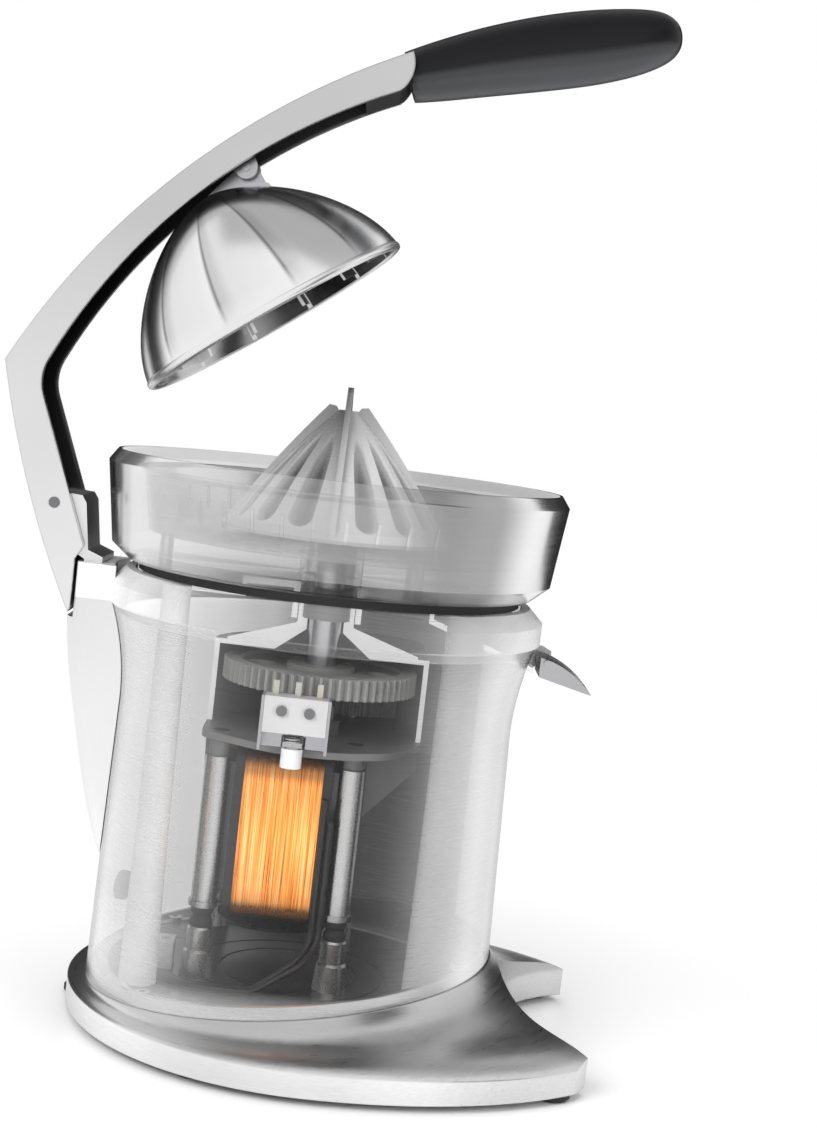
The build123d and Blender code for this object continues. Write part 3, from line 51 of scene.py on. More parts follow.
LEVER_END = (9.2, 412.7)  # middle of the lever's front end, along and up
DOME_CENTRE = (-35.9, 0, 305.2)  # middle of the dome's rim
DOME_LEAN = math.radians(36)  # of the dome's axis, backwards
DOME_RIBS = 12
CONE_BASE = 0.2149  # height of the reamer's foot
CONE_FLANK = (0.0045, 0.0545)  # where the reamer's flank starts and ends, above its foot
CONE_RADII = (0.0445, 0.004)  # of the flank at those two heights
CONE_BOW = 0.0024  # how far the flank swells halfway up
WINDING_SPAN = (0.0465, 0.1205)  # foot and top of the winding
BASE_SPAN = (0.004, 0.040)  # foot of the base and top of its flare
SHELL_LOW = (0.026, 0.038, 0.5)  # heights over which the shell's foot clears, and its alpha below
SECTION = 0.0  # the pieces shown in section are cut at this Y


def metres(x, y, z):
    """A place in millimetres about the body's axis, as metres in the frame."""
    return Vector((x / 1000 + BODY_AXIS, y / 1000, z / 1000))


# Camera and studio
IMAGE_HEIGHT = 1128  # pixels, the long side
FOCAL_PIXELS = 1888.9
CAMERA_PLACE = (22.5, -821.9, 276.8)
CAMERA_YAW = -0.013
CAMERA_PITCH = -0.086
CAMERA_ROLL = -0.113
SENSOR = 36.0

WORLD_LIGHT = 0.6  # what the white world gives to diffuse light; it looks fully white
LAMPS = (  # name, place, target, width and height in metres, watts
    ("key", (-700, -900, 900), (0, 0, 180), 0.8, 0.8, 13),
    ("fill", (900, -700, 500), (0, 0, 180), 0.9, 0.9, 5),
    ("top", (0, 200, 1200), (0, 0, 200), 1.0, 1.0, 8),
)
CARDS = (  # name, place, target, width and height in metres, grey
    ("card_right", (870, -705, 250), (0, 0, 200), 0.55, 1.6, 0.02),
    ("card_rear", (0, 900, 250), (0, 0, 250), 0.85, 1.8, 0.02),
    ("card_rear_right", (745, 1065, 250), (0, 0, 250), 0.75, 1.8, 0.02),
    ("card_rear_left", (-590, 1158, 250), (0, 0, 250), 0.5, 1.8, 0.02),
    ("card_top", (60, 160, 1150), (0, 0, 200), 1.5, 1.1, 0.5),
)
FLOOR_SIZE = 12  # metres
FLOOR_DROP = -0.0002  # just under the rubber feet
FLOOR_FADE = (0.15, 0.28)  # the worktop turns into plain white between these distances
CLIP = (0.01, 50)


def make_camera():
    """The photograph's own view."""
    data = bpy.data.cameras.new("camera")
    data.sensor_width = SENSOR
    data.lens = FOCAL_PIXELS / IMAGE_HEIGHT * SENSOR
    data.clip_start, data.clip_end = CLIP
    camera = bpy.data.objects.new("camera", data)
    turn = Matrix.Rotation(CAMERA_YAW, 4, "Z") @ Matrix.Rotation(CAMERA_PITCH, 4, "X")
    turn = turn @ Matrix.Rotation(CAMERA_ROLL, 4, "Y") @ Matrix.Rotation(math.radians(90), 4, "X")
    camera.matrix_world = Matrix.Translation(metres(*CAMERA_PLACE)) @ turn
    bpy.context.scene.collection.objects.link(camera)
    bpy.context.scene.camera = camera


def lamp(name, place, target, width, height, power):
    """A soft lamp that reflections don't show."""
    data = bpy.data.lights.new(name, "AREA")
    data.shape = "RECTANGLE"
    data.size = width
    data.size_y = height
    data.energy = power
    light = bpy.data.objects.new(name, data)
    light.location = metres(*place)
    light.rotation_euler = (metres(*target) - light.location).to_track_quat("-Z", "Y").to_euler()
    light.visible_glossy = False
    bpy.context.scene.collection.objects.link(light)


class Look:
    """A node material, built round its Principled shader."""

    def __init__(self, name, colour=(0.8, 0.8, 0.8), roughness=0.5, metallic=0.0, **sockets):
        self.material = bpy.data.materials.new(name)
        self.material.use_nodes = True
        self.tree = self.material.node_tree
        self.shader = self.tree.nodes["Principled BSDF"]
        self.out = self.tree.nodes["Material Output"]
        self.shader.inputs["Base Color"].default_value = (*colour, 1)
        self.shader.inputs["Roughness"].default_value = roughness
        self.shader.inputs["Metallic"].default_value = metallic
        for socket, value in sockets.items():
            self.shader.inputs[socket.replace("_", " ")].default_value = value

    def add(self, kind, settings=None, **inputs):
        """A node; inputs are values or other nodes' outputs, by the input's name, or n and its number."""
        made = self.tree.nodes.new("ShaderNode" + kind)
        for key, value in (settings or {}).items():
            setattr(made, key, value)
        for key, value in inputs.items():
            numbered = key[0] == "n" and key[1:].isdigit()
            self.feed(made.inputs[int(key[1:]) if numbered else key], value)
        return made

    def feed(self, socket, value):
        if isinstance(value, bpy.types.NodeSocket):
            self.tree.links.new(value, socket)
        else:
            socket.default_value = value

    def object_place(self):
        return self.add("TexCoord").outputs["Object"]

    def noise(self, scale, stretch=(1, 1, 1), detail=3.0, roughness=0.5):
        place = self.add("Mapping", None, Vector=self.object_place(), Scale=stretch).outputs["Vector"]
        made = self.add("TexNoise", None, Vector=place, Scale=scale, Detail=detail, Roughness=roughness)
        return made.outputs["Fac"]

    def maths(self, operation, first, second=0.0, third=0.0):
        return self.add("Math", {"operation": operation}, n0=first, n1=second, n2=third).outputs[0]

    def vector(self, operation, first, second=(0, 0, 0)):
        made = self.add("VectorMath", {"operation": operation}, n0=first, n1=second)
        return made.outputs["Value" if operation in ("DOT_PRODUCT", "LENGTH") else "Vector"]

    def spread(self, value, low, high, to_low=0.0, to_high=1.0):
        """value from low..high, held, onto to_low..to_high."""
        return self.add("MapRange", None, n0=value, n1=low, n2=high, n3=to_low, n4=to_high).outputs[0]

    def ramp(self, value, stops, interpolation="EASE"):
        """A colour ramp through (place, colour or grey) stops, in order."""
        made = self.add("ValToRGB", None, Fac=value)
        band = made.color_ramp
        band.interpolation = interpolation
        band.elements.remove(band.elements[1])
        for number, (where, colour) in enumerate(stops):
            element = band.elements[0] if number == 0 else band.elements.new(where)
            element.position = where
            element.color = (*colour, 1) if isinstance(colour, tuple) else (colour, colour, colour, 1)
        return made.outputs["Color"]

    def across(self, share, stops, interpolation="EASE"):
        """A ramp over -1 to 1, with its stops given in that range."""
        halved = [((place + 1) / 2, colour) for place, colour in stops]
        return self.ramp(self.spread(share, -1, 1), halved, interpolation)

    def mix(self, share, first, second):
        """Between two colours or greys."""
        made = self.add("Mix", {"data_type": "RGBA"}, n0=share)
        for socket, colour in ((made.inputs[6], first), (made.inputs[7], second)):
            if not isinstance(colour, bpy.types.NodeSocket):
                colour = (*colour, 1) if isinstance(colour, tuple) else (colour, colour, colour, 1)
            self.feed(socket, colour)
        return made.outputs[2]

    def times(self, colour, grey):
        """A colour made darker or lighter by a grey."""
        made = self.add("Mix", {"data_type": "RGBA", "blend_type": "MULTIPLY"}, n0=1.0)
        self.feed(made.inputs[6], colour)
        self.feed(made.inputs[7], grey)
        return made.outputs[2]

    def blend(self, share, first, second):
        """Between two numbers."""
        return self.add("Mix", {"data_type": "FLOAT"}, n0=share, n2=first, n3=second).outputs[0]

    def outward(self):
        """The face's own outward direction, whichever side it is seen from."""
        normal = self.add("TexCoord").outputs["Normal"]
        sign = self.maths("MULTIPLY_ADD", self.add("NewGeometry").outputs["Backfacing"], -2.0, 1.0)
        made = self.add("VectorMath", {"operation": "SCALE"}, n0=normal)
        self.feed(made.inputs["Scale"], sign)
        return made.outputs["Vector"]

    def around(self):
        """How far right a point lies on the body's round (-1 to 1), the way out from the axis, Y and Z."""
        where = self.add("SeparateXYZ", None, Vector=self.object_place())
        x = self.maths("SUBTRACT", where.outputs["X"], BODY_AXIS)
        radial = self.add("CombineXYZ", None, X=x, Y=where.outputs["Y"]).outputs[0]
        share = self.maths("DIVIDE", x, self.maths("MAXIMUM", self.vector("LENGTH", radial), 0.001))
        return share, radial, where.outputs["Y"], where.outputs["Z"]

    def inner_face(self):
        """1 on the faces of a round wall that look at the body's axis."""
        radial = self.around()[1]
        facing = self.vector("DOT_PRODUCT", self.vector("NORMALIZE", radial), self.outward())
        return self.spread(facing, -0.2, -0.3)

    def tint(self, value):
        self.colour = value
        self.feed(self.shader.inputs["Base Color"], value)
        return self

    def rough(self, value):
        self.feed(self.shader.inputs["Roughness"], value)
        return self

    def bump(self, height, strength=0.2, distance=0.0002, edge=0.0):
        """Fine relief, over edges that are rounded by the given radius."""
        made = self.add("Bump", None, Strength=strength, Distance=distance, Height=height)
        if edge:
            self.feed(made.inputs["Normal"], self.add("Bevel", {"samples": 6}, Radius=edge).outputs["Normal"])
        self.feed(self.shader.inputs["Normal"], made.outputs["Normal"])
        return self

    def alpha(self, value):
        self.feed(self.shader.inputs["Alpha"], value)
        return self


def make_studio():
    """Soft lamps in a white world, and dark cards that only the metal sees."""
    scene = bpy.context.scene
    scene.view_settings.view_transform = "Standard"
    world = bpy.data.worlds.new("studio")
    scene.world = world
    world.use_nodes = True
    tree = world.node_tree
    background = tree.nodes["Background"]
    path = tree.nodes.new("ShaderNodeLightPath")
    seen = path.outputs["Is Camera Ray"]
    for ray in ("Is Glossy Ray", "Is Transmission Ray"):
        either = tree.nodes.new("ShaderNodeMath")
        either.operation = "MAXIMUM"
        tree.links.new(seen, either.inputs[0])
        tree.links.new(path.outputs[ray], either.inputs[1])
        seen = either.outputs[0]
    strength = tree.nodes.new("ShaderNodeMapRange")
    strength.inputs["To Min"].default_value = WORLD_LIGHT
    tree.links.new(seen, strength.inputs["Value"])
    tree.links.new(strength.outputs[0], background.inputs["Strength"])
    background.inputs["Color"].default_value = (1, 1, 1, 1)
    for setting in LAMPS:
        lamp(*setting)
    for setting in CARDS:
        card(*setting)


def make_floor():
    """A white worktop that fades into the white behind it."""
    bpy.ops.mesh.primitive_plane_add(size=FLOOR_SIZE, location=(0, 0, FLOOR_DROP))
    floor = bpy.context.object
    floor.name = "floor"
    look = Look("floor_white", (0.93, 0.93, 0.93), 0.35)
    reach = look.vector("LENGTH", look.object_place())
    fade = look.spread(reach, *FLOOR_FADE)
    path = look.add("LightPath")
    seen = look.maths("MAXIMUM", path.outputs["Is Camera Ray"], path.outputs["Is Glossy Ray"])
    seen = look.maths("MAXIMUM", seen, path.outputs["Is Transmission Ray"])
    glow = look.add("Emission", None, Color=(1, 1, 1, 1), Strength=1.0)
    both = look.add("MixShader", None, Fac=look.maths("MULTIPLY", fade, seen))
    look.tree.links.new(look.shader.outputs[0], both.inputs[1])
    look.tree.links.new(glow.outputs[0], both.inputs[2])
    look.tree.links.new(both.outputs[0], look.out.inputs["Surface"])
    floor.data.materials.append(look.material)


def card(name, place, target, width, height, grey):
    """A dark or grey card beside the set, which only shows in reflections."""
    bpy.ops.mesh.primitive_plane_add(size=1)
    board = bpy.context.object
    board.name = name
    board.scale = (width, height, 1)
    board.location = metres(*place)
    board.rotation_euler = (metres(*target) - board.location).to_track_quat("Z", "Y").to_euler()
    for seen_by in ("camera", "shadow", "diffuse", "transmission"):
        setattr(board, "visible_" + seen_by, False)
    paper = Look(name + "_paper", (0, 0, 0), 1.0)
    paper.shader.inputs["Emission Color"].default_value = (1, 1, 1, 1)
    paper.shader.inputs["Emission Strength"].default_value = grey
    board.data.materials.append(paper.material)


# Materials. The bands, and the walls' greys, are greys of painted reflection and painted shade, and
# the windows alphas, from the left (-1) to the right (1) of the round body.
# painted highlight along the base's foot and painted shade in its hollow, as greys by height
BASE_LIGHT_BY_HEIGHT = [(0, 0.95), (0.28, 1.0), (0.36, 0.72), (0.6, 0.66), (1, 0.86)]  # from its foot up
# painted reflections: darker and brighter upright bands on the base's metal
BASE_REFLECTION_BANDS = [(-1, 0.8), (-0.7, 1.0), (-0.2, 0.86), (0.2, 0.9), (0.5, 1.0), (0.85, 0.8), (1, 0.6)]
# painted shading of the reamer: darker on its left and middle, bright on its right
CONE_SHADE_BANDS = [(-1, 0.85), (-0.5, 0.62), (-0.1, 0.6), (0.2, 0.85), (0.6, 1.0), (1, 1.0)]
# painted reflections: darker and brighter upright bands on the shell's metal, dark at its edges
SHELL_REFLECTION_BANDS = [(-1, 0.55), (-0.9, 0.95), (0.6, 0.8), (0.84, 1.0), (0.94, 0.85), (1, 0.5)]
SHELL_WINDOW = [
    (-1, 0.9), (-0.86, 0.72), (-0.62, 0.34), (-0.38, 0.07), (0.0, 0.03),
    (0.4, 0.04), (0.62, 0.3), (0.82, 0.85), (1, 1),
]
# painted shade on the shell's inner wall: pale at the left, dark in the middle and right
WALL_PAINTED_SHADE = [
    (-1, 0.95), (-0.6, 0.9), (-0.35, 0.7), (-0.1, 0.3),
    (0.25, 0.07), (0.6, 0.1), (0.8, 0.35), (1, 0.6),
]
# painted reflections: darker and brighter upright bands on the bowl's metal, dark at its edges
BOWL_REFLECTION_BANDS = [
    (-1, 0.05), (-0.985, 0.3), (-0.96, 0.9), (-0.75, 1.0), (-0.3, 0.95), (0.2, 0.7),
    (0.5, 0.42), (0.66, 0.45), (0.84, 1.0), (0.92, 0.95), (0.965, 0.5), (1, 0.08),
]
# painted shade on the bowl's inner wall, darker to the right
BOWL_INNER_SHADE = [(-1, 0.85), (0, 0.8), (1, 0.6)]
BOWL_WINDOW = [
    (-1, 1), (-0.93, 0.95), (-0.7, 0.6), (-0.3, 0.25),
    (0.05, 0.22), (0.3, 0.6), (0.45, 0.95), (1, 1),
]
RING_WINDOW = [(-1, 1), (-0.85, 0.75), (-0.6, 0.2), (-0.3, 0.08), (0.4, 0.08), (0.7, 0.5), (1, 1)]
BASKET_WINDOW = [(-1, 0.8), (-0.5, 0.35), (0.3, 0.35), (0.7, 0.7), (1, 0.8)]
STREAK_LENGTH = 0.0016  # how slowly a brushed streak changes round the axis, against its width
MIDDLE = (0.3, 0.7)  # where most of a noise's values lie


def brushed(name, colour, roughness, streak=1500.0, tone=0.02, relief=0.02, edge=0.0008):
    """Metal brushed round the upright axis: fine streaks that run level."""
    look = Look(name, colour, roughness, 1.0)
    radial, z = look.around()[1::2]
    flat = look.add("SeparateXYZ", None, Vector=radial)
    turn = look.maths("ARCTAN2", flat.outputs["Y"], flat.outputs["X"])
    turn = look.maths("MULTIPLY", turn, STREAK_LENGTH)
    unrolled = look.add("CombineXYZ", None, X=look.vector("LENGTH", radial), Y=turn, Z=z).outputs[0]
    streaks = look.add("TexNoise", None, Vector=unrolled, Scale=streak, Detail=3.0).outputs["Fac"]
    cloud = look.noise(9, (1, 1, 2.5), 2)
    dark, light = (tuple(min(1, c * (1 + s * tone)) for c in colour) for s in (-1, 1))
    shade = look.ramp(streaks, zip(MIDDLE, (dark, light)))
    look.tint(look.times(shade, look.ramp(cloud, zip(MIDDLE, (0.94, 1.0)))))
    look.rough(look.spread(streaks, *MIDDLE, roughness - 0.03, roughness + 0.03))
    look.bump(streaks, relief, 0.00004, edge)
    return look


def sheen(look, stops):
    """Darker and brighter upright bands painted by the way round the body: painted reflections on metal,
    painted shading elsewhere.
    """
    band = look.across(look.around()[0], stops)
    return look.tint(look.times(look.colour, band))


def base_metal():
    """Brushed flare, with painted shade in its hollow, a painted highlight along its upright foot, and
    painted reflection bands round it.
    """
    look = brushed("base_steel", (0.86, 0.86, 0.86), 0.3, 1100, 0.03, 0.01)
    height = look.around()[3]
    # painted highlight and painted shade by height
    look.tint(look.times(look.colour, look.ramp(look.spread(height, *BASE_SPAN), BASE_LIGHT_BY_HEIGHT)))
    return sheen(look, BASE_REFLECTION_BANDS)


def windowed(look, stops, back=1.0, low=None):
    """See-through in front, by (share across the front, alpha) stops, and clear inside there."""
    share, radial, y, z = look.around()
    front = look.across(share, stops, "B_SPLINE")
    if low:
        front = look.maths("MAXIMUM", front, look.spread(z, low[1], low[0], 0, low[2]))
    front = look.maths("MULTIPLY", front, look.maths("SUBTRACT", 1.0, look.inner_face()))
    behind = look.spread(y, -0.003, 0.003)
    look.alpha(look.blend(behind, front, back))
    return look


def moulded(name, colour, roughness=0.45, grain=0.05, **sockets):
    """Plastic from a mould: a fine even grain and faint cloudy tone."""
    look = Look(name, colour, roughness, **sockets)
    cloud = look.noise(30, detail=2)
    dark, light = tuple(c * 0.95 for c in colour), tuple(min(1, c * 1.03) for c in colour)
    look.tint(look.ramp(cloud, zip(MIDDLE, (dark, light))))
    fine = look.noise(1400, detail=2)
    look.rough(look.spread(fine, *MIDDLE, roughness - 0.05, roughness + 0.05))
    look.bump(fine, grain, 0.00006)
    return look


def satin(name, colour, roughness=0.32, edge=0.0):
    """Cast or bead-blasted metal with a soft sheen."""
    look = Look(name, colour, roughness, 1.0)
    fine = look.noise(2200, detail=2)
    cloud = look.noise(11, detail=1)
    dark, light = tuple(c * 0.94 for c in colour), tuple(min(1, c * 1.04) for c in colour)
    look.tint(look.ramp(cloud, zip(MIDDLE, (dark, light))))
    look.rough(look.spread(fine, *MIDDLE, roughness - 0.02, roughness + 0.02))
    if edge:
        look.bump(fine, 0.01, 0.00003, edge)
    return look


def inside(look, stops, glow=0.0):
    """A dull inner wall with painted shade by the way round the body, and a painted glow of its own."""
    wall = look.across(look.around()[0], stops)
    inner = look.inner_face()
    look.tint(look.mix(inner, look.colour, wall))
    look.feed(look.shader.inputs["Metallic"], look.maths("SUBTRACT", 1.0, inner))
    # painted light: the inner wall glows though no lamp is there
    look.feed(look.shader.inputs["Emission Color"], wall)
    look.feed(look.shader.inputs["Emission Strength"], look.maths("MULTIPLY", inner, glow))
    return look


def lever_cast():
    """Satin casting, with painted light growing towards its foot and painted shade in the channel inside."""
    look = satin("lever_satin", (0.60, 0.60, 0.60), 0.32, 0.0014)
    where = look.add("SeparateXYZ", None, Vector=look.object_place())
    # painted light: lighter towards the lever's foot
    painted_foot_light = look.spread(where.outputs["Z"], 0.34, 0.19, 1.0, 1.45)
    out = look.vector("SUBTRACT", look.object_place(), tuple(metres(*LEVER_MIDDLE)))
    inward = look.maths("LESS_THAN", look.vector("DOT_PRODUCT", out, look.outward()), 0.0)
    narrow = look.maths("LESS_THAN", look.maths("ABSOLUTE", where.outputs["Y"]), LEVER_HALF_CHANNEL)
    channel = look.maths("MULTIPLY", inward, narrow)
    # painted shade inside the channel
    channel_shade = look.ramp(look.spread(where.outputs["Z"], 0.22, 0.42), [(0, 0.10), (0.45, 0.02), (1, 0.11)])
    pale = look.times(look.colour, look.add("CombineXYZ", None, X=painted_foot_light, Y=painted_foot_light, Z=painted_foot_light).outputs[0])
    look.tint(look.mix(channel, pale, channel_shade))
    return look


PAST_ZERO = 100  # keeps the turn round the dome above zero
# painted shade: dark in each crease, lighter across each flute
DOME_CREASE_SHADE = [(0, 0.3), (0.06, 0.7), (0.3, 0.9), (0.75, 0.95), (0.95, 1.0), (1, 0.5)]
# painted shade inside the dome, from its left to its right
DOME_INSIDE_SHADE = [(0, 0.6), (0.3, 0.4), (0.55, 0.05), (1, 0.03)]


def dome_chrome():
    """Bright satin dome with painted shade in the creases over its ribs, and a glossy inside darkened by
    painted shade, left lighter along the ribs.
    """
    look = satin("dome_chrome", (0.86, 0.86, 0.87), 0.24)
    axis = (-math.sin(DOME_LEAN), 0, math.cos(DOME_LEAN))
    side = (math.cos(DOME_LEAN), 0, math.sin(DOME_LEAN))
    place = look.vector("SUBTRACT", look.object_place(), tuple(metres(*DOME_CENTRE)))
    up = look.vector("DOT_PRODUCT", place, axis)
    across = look.vector("DOT_PRODUCT", place, side)
    depth = look.add("SeparateXYZ", None, Vector=place).outputs["Y"]
    turn = look.maths("ARCTAN2", depth, across)
    pleat = look.maths("MULTIPLY_ADD", turn, DOME_RIBS / (2 * math.pi), 0.5 + PAST_ZERO)
    pleat = look.maths("FRACT", pleat)
    fade = look.maths("MULTIPLY", look.spread(up, 0.002, 0.012), look.spread(up, 0.059, 0.05))
    # painted shade in the creases
    crease = look.ramp(pleat, DOME_CREASE_SHADE)
    pleat_shade = look.mix(fade, 1.0, crease)
    facing = look.vector("DOT_PRODUCT", look.vector("NORMALIZE", place), look.outward())
    inner = look.spread(facing, -0.3, -0.4)
    # painted shade inside the dome, left lighter along the ribs
    hollow = look.ramp(look.spread(across, -0.05, 0.05), DOME_INSIDE_SHADE)
    beside = look.maths("ABSOLUTE", look.maths("SUBTRACT", pleat, 0.5))
    hollow = look.mix(look.spread(beside, 0.455, 0.47), hollow, 0.7)
    look.tint(look.mix(inner, look.times(look.colour, pleat_shade), hollow))
    return look


def cone_plastic():
    """Milky reamer, with painted shade in its flutes and towards the tip, and painted shading bands round it.
    """
    look = moulded("cone_white", (0.80, 0.80, 0.80), 0.25, 0.02)
    radial, z = look.around()[1::2]
    climb = look.spread(z, CONE_BASE + CONE_FLANK[0], CONE_BASE + CONE_FLANK[1])
    bow = look.maths("MULTIPLY", climb, look.maths("SUBTRACT", 1.0, climb))
    flank = look.maths("MULTIPLY_ADD", bow, 4 * CONE_BOW, look.blend(climb, *CONE_RADII))
    depth = look.maths("SUBTRACT", flank, look.vector("LENGTH", radial))
    # painted shade, darker the deeper into a flute
    flute_shade = look.ramp(look.spread(depth, 0.0004, 0.0045), [(0, 1.0), (0.3, 0.6), (1, 0.14)])
    # painted shade, darker towards the tip
    high = look.ramp(look.spread(z, CONE_BASE, CONE_BASE + 0.06), [(0, 0.95), (0.5, 0.75), (1, 0.45)])
    look.tint(look.times(look.times(look.colour, flute_shade), high))
    return sheen(look, CONE_SHADE_BANDS)


# painted light: the grip turns lighter as its face turns down
GRIP_UNDERSIDE_LIGHT = [(0, 0.0), (0.5, 0.004), (0.8, 0.045), (1, 0.07)]


def grip_rubber():
    """Near-black soft-touch coating, with painted light on its underside."""
    look = moulded("grip_black", (0.005, 0.005, 0.006), 0.34, 0.04, Specular_IOR_Level=0.16)
    facing = look.add("SeparateXYZ", None, Vector=look.outward()).outputs["Z"]
    # painted light on the underside
    underside_light = look.ramp(look.spread(facing, 0.35, -0.75), GRIP_UNDERSIDE_LIGHT)
    look.tint(look.mix(underside_light, look.colour, (0.9, 0.92, 0.96)))
    return look


# painted glow of the winding, though it is no lamp
WIRE_GLOW = [(0.0, 0.0), (0.06, 0.05), (0.22, 0.36), (0.5, 0.62), (0.8, 0.34), (0.93, 0.04), (1.0, 0.0)]
# painted shade towards the winding's top and bottom
WIRE_END_SHADE = [
    (0, 0.03), (0.07, 0.35), (0.14, 0.9), (0.22, 1.0),
    (0.82, 1.0), (0.9, 0.6), (0.96, 0.15), (1, 0.04),
]
WIRE_HEAT = [
    (0.26, (0.10, 0.016, 0.001)),
    (0.42, (0.70, 0.20, 0.02)),
    (0.52, (1.0, 0.38, 0.07)),
    (0.66, (1.0, 0.64, 0.28)),
]


def winding_wire():
    """Fine wire wound upright past the front, with a painted glow in its middle and painted shade towards its
    top and bottom.
    """
    look = Look("winding_wire", (0.75, 0.3, 0.08), 0.35, 0.6)
    strands = look.noise(2100, (1, 1, 0.01), 3, 0.6)
    bands = look.noise(260, (1, 1, 0.03), 2)
    where = look.add("SeparateXYZ", None, Vector=look.object_place())
    up = look.spread(where.outputs["Z"], *WINDING_SPAN)
    both = look.maths("MULTIPLY_ADD", strands, 0.85, look.maths("MULTIPLY", bands, 0.15))
    heat = look.ramp(both, WIRE_HEAT, "LINEAR")
    look.tint(look.times(heat, look.ramp(up, WIRE_END_SHADE)))
    look.feed(look.shader.inputs["Emission Color"], look.colour)
    look.feed(look.shader.inputs["Emission Strength"], look.ramp(up, WIRE_GLOW))
    look.bump(strands, 0.5, 0.0003)
    return look


def floor_plastic():
    """Dark glossy floor under the motor, with a pale rim."""
    look = Look("floor_dark", (0.02, 0.02, 0.022), 0.2)
    rim = look.spread(look.vector("LENGTH", look.around()[1]), FLOOR_RIM - 0.0004, FLOOR_RIM)
    cloud = look.ramp(look.noise(14, detail=2), [(0.3, 0.014), (0.7, 0.03)])
    look.tint(look.mix(rim, cloud, 0.75))
    return look


def cut_faces(name, grey):
    """The bright faces of a piece shown in section, lit by a painted glow."""
    look = moulded(name, (grey, grey, grey), 0.5, 0.03)
    look.feed(look.shader.inputs["Emission Color"], look.colour)
    # painted light: the cut faces glow though no lamp is there
    look.shader.inputs["Emission Strength"].default_value = 0.4
    return look


# The shell and bowl carry painted reflection bands, and painted shade and a painted glow on their inner
# walls.
shell_look = brushed("body_steel", (0.92, 0.92, 0.92), 0.26, relief=0.004)
sheen(shell_look, SHELL_REFLECTION_BANDS)
inside(shell_look, WALL_PAINTED_SHADE, 0.45)
windowed(shell_look, SHELL_WINDOW, low=SHELL_LOW)
bowl_look = brushed("bowl_steel", (0.92, 0.92, 0.92), 0.18, tone=0.012, relief=0.01)
sheen(bowl_look, BOWL_REFLECTION_BANDS)
inside(bowl_look, BOWL_INNER_SHADE, 0.3)
windowed(bowl_look, BOWL_WINDOW)
ring_look = windowed(moulded("ring_white", (0.84, 0.84, 0.84), 0.3), RING_WINDOW)
basket_look = windowed(brushed("basket_steel", (0.62, 0.62, 0.62), 0.25), BASKET_WINDOW)

LOOKS = {
    "base": base_metal(),
    "shell": shell_look,
    "bowl": bowl_look,
    "ring": ring_look,
    "basket": basket_look,
    "deck": moulded("deck_white", (0.45, 0.45, 0.45), 0.4),
    "cone": cone_plastic(),
    "lever": lever_cast(),
    "pale": satin("pale_satin", (0.84, 0.84, 0.84), 0.34),
    "grip": grip_rubber(),
    "chrome": dome_chrome(),
    "plated": satin("plated_steel", (0.5, 0.5, 0.52), 0.25),
    "pin": satin("pin_steel", (0.22, 0.22, 0.23), 0.3),
    "spring": satin("spring_steel", (0.4, 0.4, 0.42), 0.3),
    "gear_light": moulded("gear_light", (0.36, 0.36, 0.35), 0.4),
    "gear_dark": moulded("gear_dark", (0.12, 0.12, 0.13), 0.4),
    "bush": moulded("bush_grey", (0.4, 0.4, 0.4), 0.4),
    # painted shade: the gearbox case is made dark grey, darker than its white cut faces, as shade inside it
    "case": moulded("case_grey", (0.19, 0.19, 0.19), 0.45),
    "cut": cut_faces("section_white", 0.86),
    "switch": moulded("switch_grey", (0.56, 0.56, 0.56), 0.45),
    "cap": moulded("cap_white", (0.8, 0.8, 0.8), 0.3),
    "brass": satin("terminal_metal", (0.62, 0.6, 0.55), 0.3),
    "core": brushed("core_laminated", (0.16, 0.16, 0.17), 0.4, 2600),
    "winding": winding_wire(),
    "copper": satin("copper", (0.7, 0.4, 0.25), 0.3),
    "bobbin": moulded("bobbin_black", (0.015, 0.015, 0.015), 0.4),
    "rubber": moulded("rubber_black", (0.012, 0.012, 0.012), 0.7),
    "lead": moulded("lead_black", (0.012, 0.012, 0.013), 0.35),
    "sleeve": satin("sleeve_metal", (0.62, 0.62, 0.62), 0.28),
    "floor": floor_plastic(),
    "inner": moulded("inner_grey", (0.36, 0.36, 0.37), 0.4),
    "inner_pale": moulded("inner_pale", (0.75, 0.75, 0.76), 0.4),
    "spout": satin("spout_steel", (0.5, 0.5, 0.51), 0.22),
}

NODE_LOOKS = {
    "base": ["base_skirt"],
    "shell": ["body_shell"],
    "bowl": ["juice_bowl"],
    "ring": ["top_ring"],
    "basket": ["filter_basket"],
    "deck": ["deck"],
    "cone": ["cone"],
    "lever": ["lever_arm"],
    "pale": ["rear_spine", "hinge_bracket"],
    "grip": ["grip"],
    "chrome": ["press_dome"],
    "plated": [
        "dome_hanger", "dome_clevis", "dome_pin", "spout_pin", "drive_spindle", "plunger_link", "idler_axle",
        "gearbox_screws", "motor_shaft", "motor_cradle", "motor_pinion", "switch_bracket", "base_screws",
    ],
    "pin": ["arm_pin", "switch_screws"],
    "spring": ["arm_spring", "press_spring"],
    "gear_light": ["output_gear", "idler_gear"],
    "bush": ["spindle_bush", "thrust_cup"],
    "case": ["gearbox_case", "gearbox_plate"],
    "switch": ["switch_body"],
    "cap": ["switch_plunger", "terminal_block"],
    "brass": ["switch_terminals"],
    "core": ["stator_core", "rotor_core"],
    "winding": ["main_winding"],
    "copper": ["shading_rings", "upper_bearing", "lower_bearing"],
    "bobbin": ["coil_bobbin", "cooling_fan", "bottom_cover"],
    "rubber": ["rubber_feet", "bowl_gasket", "spindle_seal", "post_grommets", "cord_bush"],
    "lead": ["motor_leads"],
    "sleeve": ["sleeve_posts", "mount_posts"],
    "floor": ["base_plate"],
    "inner": ["front_column"],
    "inner_pale": ["support_column"],
    "spout": ["spout"],
}


